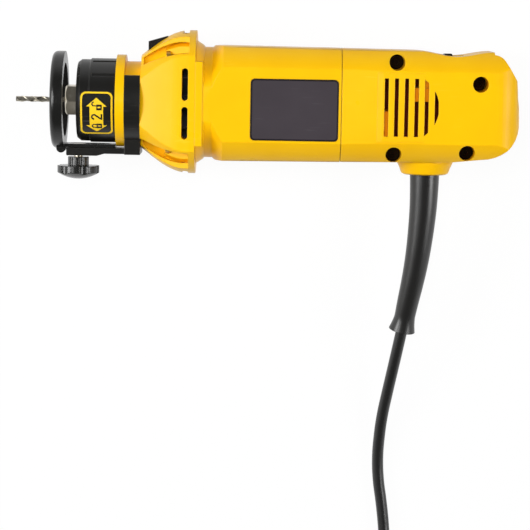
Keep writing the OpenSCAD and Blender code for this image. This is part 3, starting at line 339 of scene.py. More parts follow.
BIT = Finish("ground_flutes", "steel", (0.4, 0.37, 0.31), (0.32, 0.295, 0.245), (0.5, 0.47, 0.41),
             Grain.TURNED, roughness=0.34, relief=0.00001, rounding=0.0002, wear=0.3, metallic=1.0)
DARK_STEEL = Finish("blackened_steel", "steel", (0.035, 0.03, 0.026), (0.02, 0.018, 0.016), (0.13, 0.12, 0.1),
                    Grain.TURNED, relief=0.00001, rounding=0.0003, wear=0.4, metallic=1.0)
ZINC = Finish("yellow_zinc", "steel", (0.66, 0.43, 0.10), (0.55, 0.35, 0.08), (0.85, 0.62, 0.25),
              Grain.TURNED, relief=0.00001, rounding=0.0003, wear=0.4, metallic=1.0)
STACK = Finish("stacked_sheet", "laminations", (0.24, 0.24, 0.25), (0.17, 0.17, 0.18), (0.4, 0.4, 0.4),
               Grain.STACKED, roughness=0.5, scale=12500.0, relief=0.00006, rounding=0.0002, metallic=1.0)
COPPER = Finish("bare_copper", "copper", (0.72, 0.34, 0.18), (0.52, 0.22, 0.10), (0.86, 0.52, 0.34),
                Grain.TURNED, roughness=0.38, scale=15000.0, relief=0.00008, rounding=0.0003, metallic=1.0)
HOLDER = Finish("brush_holder", "brush_gear", (0.17, 0.06, 0.03), (0.12, 0.045, 0.02), (0.3, 0.15, 0.09))
# A dark red-brown sheet set behind the vents: painted shade inside the handle
SHADE_CARD = Finish("painted_shade_card", "brush_gear", (0.26, 0.032, 0.012), (0.2, 0.024, 0.009), (0.3, 0.07, 0.03),
              roughness=0.6)
# The yellow plastic of the inner ribs in its darker orange look in shade: painted shade
SHADED_RIB_YELLOW = Finish("inner_rib", "housing_yellow", (0.9, 0.33, 0.004), (0.85, 0.3, 0.003), (0.95, 0.42, 0.02),
               roughness=0.5)
CARBON = Finish("pressed_carbon", "carbon", (0.025, 0.025, 0.027), (0.016, 0.016, 0.017), (0.09, 0.09, 0.09),
                roughness=0.6)
FAN = Finish("fan_moulding", "fan", (0.045, 0.045, 0.05), (0.03, 0.03, 0.034), (0.14, 0.14, 0.15))
PANEL = Finish("label_panel", "label", (0.052, 0.043, 0.051), (0.044, 0.036, 0.043), (0.12, 0.11, 0.12),
               roughness=0.5, scale=2600.0, relief=0.000015, rounding=0.0002, specular=0.25)
PANEL_RIM = Finish("label_rim", "label", (0.010, 0.009, 0.010), (0.007, 0.0065, 0.007), (0.05, 0.05, 0.05),
                   roughness=0.5, specular=0.25)
RUBBER = Finish("lead_rubber", "cord_rubber",
                (0.011, 0.0108, 0.0102), (0.0075, 0.0074, 0.007), (0.045, 0.045, 0.042),
                roughness=0.33, scale=2200.0, relief=0.000005, specular=0.6)
PLUG = Finish("plug_moulding", "plug", (0.011, 0.011, 0.0105), (0.008, 0.008, 0.0075), (0.05, 0.05, 0.05),
              roughness=0.45)
BLADE = Finish("blade_brass", "blade_metal", (0.70, 0.58, 0.33), (0.58, 0.47, 0.26), (0.85, 0.76, 0.5),
               Grain.TURNED, roughness=0.3, relief=0.000008, rounding=0.0002, metallic=1.0)
MARK = Finish("sleeve_mark", "housing_yellow", (0.93, 0.62, 0.02), (0.9, 0.57, 0.015), (0.95, 0.72, 0.12),
              roughness=0.5, relief=0.000008, rounding=0.00005, wear=0.1, specular=0.25)


def linked(name: str, data: bpy.types.ID) -> bpy.types.Object:
    """Links a new object that holds the data into the scene.

    Args:
        name: The object's name.
        data: Its mesh, curve, camera or light.

    Returns:
        The new object.
    """
    made = bpy.data.objects.new(name, data)
    bpy.context.scene.collection.objects.link(made)
    return made


def new_piece(name: str, data: bpy.types.ID, finish: Finish, body: str, *nodes: str) -> bpy.types.Object:
    """Puts a finished mesh or curve into the scene on its body.

    Args:
        name: The piece's name.
        data: Its mesh or curve, with its place in its points.
        finish: Its finish.
        body: The body it moves with.
        nodes: The solids it stands for.

    Returns:
        The new object.
    """
    piece = linked(name, data)
    piece.data.materials.clear()
    piece.data.materials.append(finish.material())
    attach(piece, body)
    if nodes:
        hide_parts(*nodes)
    LOG.info("piece %s in %s on %s", name, finish.name, body)
    return piece


def baked(holder: bpy.types.Object) -> bpy.types.Mesh:
    """Turns an object's modifiers into a plain mesh and removes the object.

    Args:
        holder: The object.

    Returns:
        The mesh.
    """
    view = bpy.context.evaluated_depsgraph_get()
    view.update()
    evaluated = holder.evaluated_get(view)
    mesh = bpy.data.meshes.new_from_object(evaluated, preserve_all_data_layers=True, depsgraph=view)
    bpy.data.objects.remove(holder)
    return mesh


def smooth_mesh(node: str, angle: float) -> bpy.types.Mesh:
    """Copies a solid's mesh, joins its loose triangles and smooths its curved faces.

    Args:
        node: The solid's name.
        angle: Edges sharper than this many degrees stay sharp.

    Returns:
        The new mesh.
    """
    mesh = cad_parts[node].data.copy()
    mesh.materials.clear()
    work = bmesh.new()
    work.from_mesh(mesh)
    bmesh.ops.remove_doubles(work, verts=work.verts, dist=MERGE_DISTANCE)
    bmesh.ops.dissolve_degenerate(work, edges=work.edges, dist=SLIVER)
    work.to_mesh(mesh)
    work.free()
    if "custom_normal" in mesh.attributes:
        mesh.attributes.remove(mesh.attributes["custom_normal"])
    mesh.shade_smooth()
    mesh.set_sharp_from_angle(angle=math.radians(angle))
    return mesh


def smooth_piece(node: str, finish: Finish, body: str, angle: float = SOLID_ANGLE) -> bpy.types.Object:
    """Stands a smoothed copy of a solid in its place.

    Args:
        node: The solid's name.
        finish: Its finish.
        body: The body it moves with.
        angle: Edges sharper than this many degrees stay sharp.

    Returns:
        The new object, with its flat faces shaded flat.
    """
    name = node + "_dressed"
    holder = linked(name, smooth_mesh(node, angle))
    holder.modifiers.new("flat_faces", "WEIGHTED_NORMAL").keep_sharp = True
    return new_piece(name, baked(holder), finish, body, node)


def settle(work: bmesh.types.BMesh, mesh: bpy.types.Mesh, smooth: bool = True) -> bpy.types.Mesh:
    """Writes worked geometry into a mesh with its faces pointing outwards.

    Args:
        work: The geometry, which is freed.
        mesh: The mesh that takes it.
        smooth: Whether its curved faces are smoothed.

    Returns:
        The same mesh.
    """
    bmesh.ops.recalc_face_normals(work, faces=work.faces)
    work.to_mesh(mesh)
    work.free()
    if smooth:
        mesh.shade_smooth()
        mesh.set_sharp_from_angle(angle=math.radians(MADE_ANGLE))
    return mesh


def skin(work: bmesh.types.BMesh, loops: Sequence[Sequence[bmesh.types.BMVert]], closed: bool) -> None:
    """Joins loops of as many points each with four-sided faces.

    Args:
        work: The geometry that the loops are in.
        loops: The loops, each closed on itself.
        closed: Whether the last loop joins the first.
    """
    following = [*loops[1:], loops[0]] if closed else loops[1:]
    for low, high in zip(loops, following):
        for k in range(len(low)):
            after = (k + 1) % len(low)
            work.faces.new((low[k], low[after], high[after], high[k]))


def arc(centre: Flat, radius: float, first: float, last: float, steps: int = 8) -> list[Flat]:
    """Points of an arc.

    Args:
        centre: Middle of its circle.
        radius: Its radius.
        first: Angle of its first point, in degrees.
        last: Angle of its last point, in degrees.
        steps: Spans between its points.

    Returns:
        The points.
    """
    turns = [math.radians(first + (last - first) * k / steps) for k in range(steps + 1)]
    return [(centre[0] + radius * math.cos(t), centre[1] + radius * math.sin(t)) for t in turns]


def rounded_outline(width: float, height: float, corner: float, steps: int = 5) -> list[Flat]:
    """Points of a rectangle with rounded corners about the origin, anticlockwise.

    Args:
        width: Its width.
        height: Its height.
        corner: Radius of its corners.
        steps: Spans of each corner.

    Returns:
        The points.
    """
    points = []
    for side, end, first in ((1, 1, 0), (-1, 1, 90), (-1, -1, 180), (1, -1, 270)):
        centre = (side * (width / 2 - corner), end * (height / 2 - corner))
        points += arc(centre, corner, first, first + 90, steps)
    return points


def band_mesh(name: str, outer: Sequence[Flat], inner: Sequence[Flat], levels: tuple[float, float],
              place: Vector, turn: Matrix = UNTURNED, smooth: bool = True) -> bpy.types.Mesh:
    """Closed band between two outlines of as many points.

    Args:
        name: The mesh's name.
        outer: Its outside, in millimetres.
        inner: Its opening, in millimetres.
        levels: Where it starts and ends across the outlines, in millimetres.
        place: Where the outlines' origin goes, in metres.
        turn: How the outlines are turned first.
        smooth: Whether its curved faces are smoothed.

    Returns:
        The mesh.
    """
    low, high = levels
    work = bmesh.new()
    loops = [[work.verts.new(place + turn @ Vector((x, y, level)) * MM) for x, y in outline]
             for outline, level in ((outer, low), (outer, high), (inner, high), (inner, low))]
    skin(work, loops, closed=True)
    return settle(work, bpy.data.meshes.new(name), smooth)


def box_mesh(name: str, blocks: Sequence[Block]) -> bpy.types.Mesh:
    """Plain blocks between pairs of corners.

    Args:
        name: The mesh's name.
        blocks: Low and high corner of each block in the tool's millimetres.

    Returns:
        The mesh.
    """
    work = bmesh.new()
    for low, high in blocks:
        for vert in bmesh.ops.create_cube(work, size=1.0)["verts"]:
            vert.co = at(*(a + (b - a) * (c + 0.5) for a, b, c in zip(low, high, vert.co)))
    return settle(work, bpy.data.meshes.new(name), smooth=False)


def sweep_mesh(name: str, path: Sequence[Vector], radii: Sequence[float], sides: int) -> bpy.types.Mesh:
    """Closed round tube along a path.

    Args:
        name: The mesh's name.
        path: Points of its middle line, in metres.
        radii: Its radius at each point, in metres.
        sides: Faces round it.

    Returns:
        The tube, smooth, with its sharp steps kept.
    """
    work = bmesh.new()
    turns = [2 * math.pi * k / sides for k in range(sides)]
    rings = []
    side = None
    for i, middle in enumerate(path):
        ahead = (path[min(i + 1, len(path) - 1)] - path[max(i - 1, 0)]).normalized()
        side = (side - ahead * side.dot(ahead)).normalized() if side else ahead.orthogonal().normalized()
        other = ahead.cross(side)
        rings.append([work.verts.new(middle + radii[i] * (math.cos(t) * side + math.sin(t) * other))
                      for t in turns])
    skin(work, rings, closed=False)
    work.faces.new(list(reversed(rings[0])))
    work.faces.new(rings[-1])
    return settle(work, bpy.data.meshes.new(name))


def spline_points(points: Sequence[Vector], steps: int) -> list[Vector]:
    """Smooth line through points.

    Args:
        points: The points to pass through.
        steps: New points for each span.

    Returns:
        The closer points, on a curve that goes through the given ones.
    """
    ends = [2 * points[0] - points[1], *points, 2 * points[-1] - points[-2]]
    line = []
    for a, b, c, d in zip(ends, ends[1:], ends[2:], ends[3:]):
        for k in range(steps):
            t = k / steps
            line.append(0.5 * (2 * b + (c - a) * t + (2 * a - 5 * b + 4 * c - d) * t * t
                               + (3 * b - a - 3 * c + d) * t ** 3))
    return [*line, points[-1]]


class Grown:
    """A shape that Geometry Nodes make, with its sizes in millimetres."""

    def values(self) -> dict[str, float]:
        """Values for the tree's named inputs, with lengths in metres."""
        raise NotImplementedError

    def fill(self, desk: NodeDesk, given: bpy.types.Node) -> bpy.types.NodeSocket:
        """Makes the tree's nodes and gives the geometry before it is realised."""
        raise NotImplementedError

    def tree(self) -> bpy.types.NodeTree:
        """Builds the tree that ends in one realised mesh with its material, once for each class.

        Returns:
            The tree.
        """
        name = type(self).__name__
        if name in bpy.data.node_groups:
            return bpy.data.node_groups[name]
        tree = bpy.data.node_groups.new(name, "GeometryNodeTree")
        tree.interface.new_socket("Geometry", in_out="INPUT", socket_type="NodeSocketGeometry")
        for key, value in self.values().items():
            kind = "NodeSocketInt" if isinstance(value, int) else "NodeSocketFloat"
            tree.interface.new_socket(key, in_out="INPUT", socket_type=kind).default_value = value
        tree.interface.new_socket("Material", in_out="INPUT", socket_type="NodeSocketMaterial")
        tree.interface.new_socket("Geometry", in_out="OUTPUT", socket_type="NodeSocketGeometry")
        desk = NodeDesk(tree)
        given = desk.add("NodeGroupInput")
        whole = desk.add("GeometryNodeRealizeInstances", {"Geometry": self.fill(desk, given)})
        painted = desk.add("GeometryNodeSetMaterial", {"Geometry": whole.outputs[0],
                                                       "Material": given.outputs["Material"]})
        desk.add("NodeGroupOutput", {"Geometry": painted.outputs[0]})
        return tree

    def build(self, name: str, finish: Finish, body: str, place: Vector = ORIGIN, turn: Matrix = UNTURNED,
              points: Sequence[Vector] = ()) -> bpy.types.Object:
        """Grows the shape and sets it on its body.

        Args:
            name: The piece's name.
            finish: Its finish.
            body: The body it moves with.
            place: Where its origin goes, in metres.
            turn: How it is turned first.
            points: Places the tree works from, if it needs any, in metres.

        Returns:
            The new object.
        """
        start = bpy.data.meshes.new(name)
        start.from_pydata(points, [], [])
        holder = linked(name, start)
        tree = self.tree()
        grow = holder.modifiers.new("grow", "NODES")
        grow.node_group = tree
        sockets = {s.name: s.identifier for s in tree.interface.items_tree if s.in_out == "INPUT"}
        for key, value in {**self.values(), "Material": finish.material()}.items():
            grow[sockets[key]] = value
        mesh = baked(holder)
        mesh.name = name
        mesh.transform(Matrix.Translation(place) @ turn.to_4x4())
        work = bmesh.new()
        work.from_mesh(mesh)
        return new_piece(name, settle(work, mesh), finish, body)


@dataclass(frozen=True)
class RibRow(Grown):
    """Row of half sunk ribs that lie along Y, one behind another along X."""

    count: int
    pitch: float
    length: float
    radius: float
    sides: int = 12

    def values(self) -> dict[str, float]:
        """Values for the tree's named inputs, with lengths in metres."""
        return {"Count": self.count, "Pitch": self.pitch * MM, "Length": self.length * MM,
                "Radius": self.radius * MM}

    def fill(self, desk: NodeDesk, given: bpy.types.Node) -> bpy.types.NodeSocket:
        """Makes a line of points about the origin with a round bar on each.

        Args:
            desk: Makes the nodes.
            given: The tree's input node.

        Returns:
            The bars.
        """
        pitch = given.outputs["Pitch"]
        gaps = desk.math("SUBTRACT", given.outputs["Count"], 1.0)
        first = desk.math("MULTIPLY", desk.math("MULTIPLY", pitch, -0.5), gaps)
        row = desk.add("GeometryNodeMeshLine", {"Count": given.outputs["Count"],
                                                "Start Location": desk.vector("X", first),
                                                "Offset": desk.vector("X", pitch)})
        start, end = (desk.vector("Y", desk.math("MULTIPLY", given.outputs["Length"], share))
                      for share in (-0.5, 0.5))
        line = desk.add("GeometryNodeCurvePrimitiveLine", {"Start": start, "End": end})
        ring = desk.add("GeometryNodeCurvePrimitiveCircle", {"Resolution": self.sides,
                                                             "Radius": given.outputs["Radius"]})
        bar = desk.add("GeometryNodeCurveToMesh", {"Curve": line.outputs[0], "Profile Curve": ring.outputs[0],
                                                   "Fill Caps": True})
        return desk.add("GeometryNodeInstanceOnPoints", {"Points": row.outputs[0],
                                                         "Instance": bar.outputs[0]}).outputs[0]


@dataclass(frozen=True)
class Discs(Grown):
    """Flat discs on given points."""

    radius: float
    depth: float
    sides: int = 40

    def values(self) -> dict[str, float]:
        """Values for the tree's named inputs, with lengths in metres."""
        return {"Radius": self.radius * MM, "Depth": self.depth * MM}

    def fill(self, desk: NodeDesk, given: bpy.types.Node) -> bpy.types.NodeSocket:
        """Makes a disc on each point.

        Args:
            desk: Makes the nodes.
            given: The tree's input node.

        Returns:
            The discs.
        """
        disc = desk.add("GeometryNodeMeshCylinder", {"Vertices": self.sides,
                                                     "Radius": given.outputs["Radius"],
                                                     "Depth": given.outputs["Depth"]})
        return desk.add("GeometryNodeInstanceOnPoints", {"Points": given.outputs["Geometry"],
                                                         "Instance": disc.outputs[0]}).outputs[0]


@dataclass(frozen=True)
class Helix(Grown):
    """Round ridge that winds about Z, as on a screw or a bit."""

    turns: float
    radius: float
    height: float
    ridge: float
    turn_steps: int = 20
    sides: int = 6

    def values(self) -> dict[str, float]:
        """Values for the tree's named inputs, with lengths in metres."""
        return {"Turns": self.turns, "Radius": self.radius * MM, "Height": self.height * MM,
                "Ridge": self.ridge * MM}

    def fill(self, desk: NodeDesk, given: bpy.types.Node) -> bpy.types.NodeSocket:
        """Makes a spiral of one radius and sweeps the ridge along it.

        Args:
            desk: Makes the nodes.
            given: The tree's input node.

        Returns:
            The ridge.
        """
        radius = given.outputs["Radius"]
        coil = desk.add("GeometryNodeCurveSpiral", {
            "Resolution": self.turn_steps, "Rotations": given.outputs["Turns"], "Start Radius": radius,
            "End Radius": radius, "Height": given.outputs["Height"]})
        ridge = desk.add("GeometryNodeCurvePrimitiveCircle", {"Resolution": self.sides,
                                                              "Radius": given.outputs["Ridge"]})
        return desk.add("GeometryNodeCurveToMesh", {"Curve": coil.outputs[0],
                                                    "Profile Curve": ridge.outputs[0],
                                                    "Fill Caps": True}).outputs[0]


@dataclass
class MainsLead:
    """Strain relief, cord, coil, tie and plug."""

    diameter: float = 7.0
    relief_route: Sequence[Point] = (
        (223.06, -39, 0), (223.06, -48, 0), (222.76, -61, -0.3), (221.86, -74, -0.9), (220.56, -87, -1.8),
        (219.06, -98, -3), (217.16, -109, -4.5), (215.16, -119.5, -6.2), (213.76, -127.5, -7.7),
        (213.36, -130, -8.2), (212.16, -136.5, -9.5))
    cord_route: Sequence[Point] = (
        (209.66, -150, -12.2), (207.16, -163.5, -15.8), (204.56, -177.5, -19.6), (202.16, -191.5, -23.2),
        (200.66, -205.5, -26), (200.06, -219.5, -27.8), (200.86, -233, -28.4), (202.76, -246, -28.4),
        (204.26, -258, -28.2), (205.36, -271, -27.8), (206.36, -284, -27.4), (206.96, -297, -27.3))
    cord_detail: int = 5
    measure_steps: int = 6
    root_radius: float = 8.85
    tip_radius: float = 6.25
    collar_radius: float = 8.0
    collar_length: float = 9.5
    collar_flare: float = 1.6
    relief_steps: int = 4
    relief_sides: int = 36
    coil_centre: Flat = (149.96, -328.0)
    coil_inner: float = 28.2
    coil_pitch: float = 7.45
    layer_turns: float = 3.75
    climb_turns: float = 0.5
    coil_low: float = -27.3
    coil_layer: float = 7.5
    loop_points: int = 20
    lead_in: Sequence[float] = (21.0, 7.0)
    tail: float = 46.0
    tie_corner: float = 2.2
    tie_thick: float = 0.9
    tie_steps: int = 6
    plug_ribs: RibRow = RibRow(count=5, pitch=2.6, length=12.0, radius=0.6)
    plug_rib_place: float = 11.0

    def coil_point(self, turn: float) -> Vector:
        """Middle of the cord after a number of turns of the coil.

        Args:
            turn: Turns from the coil's start.

        Returns:
            The point in metres.
        """
        half = self.layer_turns + self.climb_turns / 2
        radius = self.coil_inner + self.coil_pitch * abs(turn - half)
        share = min(max((turn - self.layer_turns) / self.climb_turns, 0.0), 1.0)
        climb = share * share * (3 - 2 * share)
        angle = -2 * math.pi * turn
        x, y = self.coil_centre
        return at(x + radius * math.cos(angle), y + radius * math.sin(angle),
                  self.coil_low + self.coil_layer * climb)

    def route(self) -> list[Vector]:
        """Middle line of the whole cord.

        Returns:
            The points from the boss to the plug, in metres.
        """
        turns = 2 * self.layer_turns + self.climb_turns
        start, end = self.coil_point(0), self.coil_point(turns)
        lead = [at(*p) for p in (*self.relief_route, *self.cord_route)]
        down = Vector((0, -MM, 0))
        into = [start - reach * down for reach in self.lead_in]
        loops = [self.coil_point(i / self.loop_points) for i in range(int(turns * self.loop_points) + 1)]
        return [*lead, *into, *loops, end + self.tail / 2 * down, end + self.tail * down]

    def build_cord(self) -> bpy.types.Object:
        """Makes the cord as one smooth curve in the solids' place.

        Returns:
            The curve object.
        """
        curve = bpy.data.curves.new("mains_cord", "CURVE")
        curve.dimensions = "3D"
        curve.bevel_depth = self.diameter / 2 * MM
        curve.bevel_resolution = self.cord_detail
        curve.resolution_u = self.cord_detail
        curve.use_fill_caps = True
        points = self.route()
        spline = curve.splines.new("BEZIER")
        spline.bezier_points.add(len(points) - 1)
        for knot, place in zip(spline.bezier_points, points):
            knot.co = place
            knot.handle_left_type = knot.handle_right_type = "AUTO"
        return new_piece("mains_cord", curve, RUBBER, "housing", "cord_lead", "cord_coil")

    def build_relief(self) -> bpy.types.Object:
        """Makes the tapered sleeve with its flared end.

        Returns:
            The sleeve object.
        """
        path = spline_points([at(*p) for p in self.relief_route], self.relief_steps)
        runs = [0.0]
        for a, b in zip(path, path[1:]):
            runs.append(runs[-1] + (b - a).length)
        flare_length = self.collar_length * MM
        collar = runs[-1] - flare_length
        radii = []
        for run in runs:
            radius = self.root_radius + (self.tip_radius - self.root_radius) * min(run / collar, 1.0)
            if run > collar:
                radius += (self.collar_radius - radius) * ((run - collar) / flare_length) ** self.collar_flare
            radii.append(radius * MM)
        mesh = sweep_mesh("strain_sleeve", path, radii, self.relief_sides)
        return new_piece("strain_sleeve", mesh, RUBBER, "housing", "strain_relief")

    def build_tie(self) -> bpy.types.Object:
        """Makes the flat band round the coil with its rounded corners.

        Returns:
            The band object.
        """
        low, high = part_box("cord_tie")
        wide, across, tall = (high - low) / MM
        thick = self.tie_thick
        outer = rounded_outline(across, tall, self.tie_corner, self.tie_steps)
        inner = rounded_outline(across - 2 * thick, tall - 2 * thick, self.tie_corner - thick, self.tie_steps)
        mesh = band_mesh("coil_band", outer, inner, (-wide / 2, wide / 2), (low + high) / 2, UPRIGHT)
        return new_piece("coil_band", mesh, RUBBER, "housing", "cord_tie")

    def build(self) -> None:
        """Builds the lead."""
        cord = self.build_cord()
        relief = self.build_relief()
        tie = self.build_tie()
        plug = smooth_piece("plug_body", PLUG, "housing")
        blades = smooth_piece("plug_blades", BLADE, "housing")
        low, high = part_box("plug_body")
        for side, x in (("left", low.x), ("right", high.x)):
            place = Vector((x, low.y + self.plug_rib_place * MM, (low.z + high.z) / 2))
            turn = QUARTER_Z @ QUARTER_X
            self.plug_ribs.build(f"plug_grip_{side}", PLUG, "housing", place, turn)


@dataclass(frozen=True)
class Lamp:
    """A soft square lamp, with its places and side in metres and its power in watts."""

    name: str
    place: Point
    aim: Point
    size: float
    power: float
    mirrored: bool = True

    def build(self) -> None:
        """Hangs the lamp, which glossy surfaces show only if it is mirrored."""
        light = bpy.data.lights.new(self.name, "AREA")
        light.size = self.size
        light.energy = self.power
        lamp = linked(self.name, light)
        lamp.location = self.place
        lamp.visible_glossy = self.mirrored
        lamp.rotation_euler = (Vector(self.aim) - Vector(self.place)).to_track_quat("-Z", "Y").to_euler()


@dataclass
class Studio:
    """Camera, lamps, white surround and floor."""

    frame_mm: float = 319.0
    aim: Flat = (128.4, -97.4)
    camera_y: float = 65.0
    camera_z: float = 1500.0
    roll: float = 1.0
    sight: float = 20.0
    ambient: float = 0.1
    ceiling: float = 0.12
    horizon: tuple[float, float] = (0.05, 0.5)
    floor_half: float = 6.0
    floor_grey: float = 0.6
    floor_roughness: float = 0.9
    floor_glow: float = 1.03
    glow_share: float = 0.92
    lamps: Sequence[Lamp] = (
        Lamp("top_lamp", (-0.1, 0.25, 1.75), (0, 0, 0), 0.6, 14.0, mirrored=False),
        Lamp("left_lamp", (-1.2, 0.1, 0.85), (-0.05, 0, 0.03), 0.6, 11.5),
        Lamp("nose_lamp", (-0.95, 0.1, 1.55), (-0.06, 0, 0.03), 0.45, 5.0),
        Lamp("right_lamp", (1.25, -0.1, 0.85), (0.1, 0, 0.03), 0.6, 9.0))

    def camera(self) -> None:
        """Sets the camera above the tool at the photograph's angle."""
        aim = at(*self.aim)
        eye = at(self.aim[0], self.camera_y, self.camera_z)
        lens = bpy.data.cameras.new("camera")
        lens.sensor_fit = "HORIZONTAL"
        lens.angle = 2 * math.atan(self.frame_mm * MM / 2 / (aim - eye).length)
        lens.clip_end = self.sight
        ahead = (aim - eye).normalized()
        level = (Vector((0, 1, 0)) - ahead * ahead.y).normalized()
        up = Matrix.Rotation(math.radians(self.roll), 3, -ahead) @ level
        camera = linked("camera", lens)
        camera.matrix_world = Matrix((ahead.cross(up), up, -ahead)).transposed().to_4x4()
        camera.location = eye
        bpy.context.scene.camera = camera

    def white_where_seen(self, desk: NodeDesk) -> bpy.types.NodeSocket:
        """Tells the rays that see white from those that carry light.

        Args:
            desk: Makes the nodes.

        Returns:
            A share that is 1 for camera, glossy and transmission rays.
        """
        rays = desk.add("ShaderNodeLightPath").outputs
        seen = desk.math("MAXIMUM", rays["Is Camera Ray"], rays["Is Glossy Ray"])
        return desk.math("MAXIMUM", seen, rays["Is Transmission Ray"])

    def world(self) -> None:
        """Makes the surround white to the eye, darker overhead in reflections and an even grey as light."""
        world = bpy.data.worlds.new("studio")
        world.use_nodes = True
        bpy.context.scene.world = world
        desk = NodeDesk(world.node_tree)
        ground = world.node_tree.nodes["Background"]
        desk.put(ground, "Color", WHITE)
        rays = desk.add("ShaderNodeLightPath").outputs
        direction = desk.add("ShaderNodeTexCoord").outputs["Generated"]
        upwards = desk.add("ShaderNodeSeparateXYZ", {0: direction}).outputs[2]
        overhead = desk.span(upwards, *self.horizon, 1.0, self.ceiling)
        mirrored = desk.math("MULTIPLY", rays["Is Glossy Ray"], overhead)
        lit = desk.span(self.white_where_seen(desk), 0.0, 1.0, self.ambient, 0.0)
        direct = desk.math("MAXIMUM", rays["Is Camera Ray"], rays["Is Transmission Ray"])
        seen = desk.math("MAXIMUM", direct, mirrored)
        desk.put(ground, "Strength", desk.math("MAXIMUM", seen, lit))

    def floor(self) -> None:
        """Lays a pale floor that keeps the tool's soft shadow."""
        half = self.floor_half
        mesh = bpy.data.meshes.new("floor")
        corners = [(-half, -half, 0), (half, -half, 0), (half, half, 0), (-half, half, 0)]
        mesh.from_pydata(corners, [], [(0, 1, 2, 3)])
        floor = linked("floor", mesh)
        paint = bpy.data.materials.new("floor_paint")
        paint.use_nodes = True
        desk = NodeDesk(paint.node_tree)
        shader = paint.node_tree.nodes["Principled BSDF"]
        desk.put(shader, "Base Color", (*[self.floor_grey] * 3, 1.0))
        desk.put(shader, "Roughness", self.floor_roughness)
        glow = desk.add("ShaderNodeEmission", {"Color": WHITE, "Strength": self.floor_glow})
        share = desk.math("MULTIPLY", self.white_where_seen(desk), self.glow_share)
        blend = desk.add("ShaderNodeMixShader", {0: share, 1: shader.outputs[0], 2: glow.outputs[0]})
        desk.put(paint.node_tree.nodes["Material Output"], "Surface", blend.outputs[0])
        floor.data.materials.append(paint)

    def build(self) -> None:
        """Sets up the whole studio."""
        bpy.context.scene.view_settings.view_transform = "Standard"
        self.camera()
        self.world()
        self.floor()
        for lamp in self.lamps:
            lamp.build()


class Sign(Enum):
    """The generic marks on the sleeve."""

    OPEN_LOCK = "open_lock"
    NUMBER = "number"
    CLOSED_LOCK = "closed_lock"


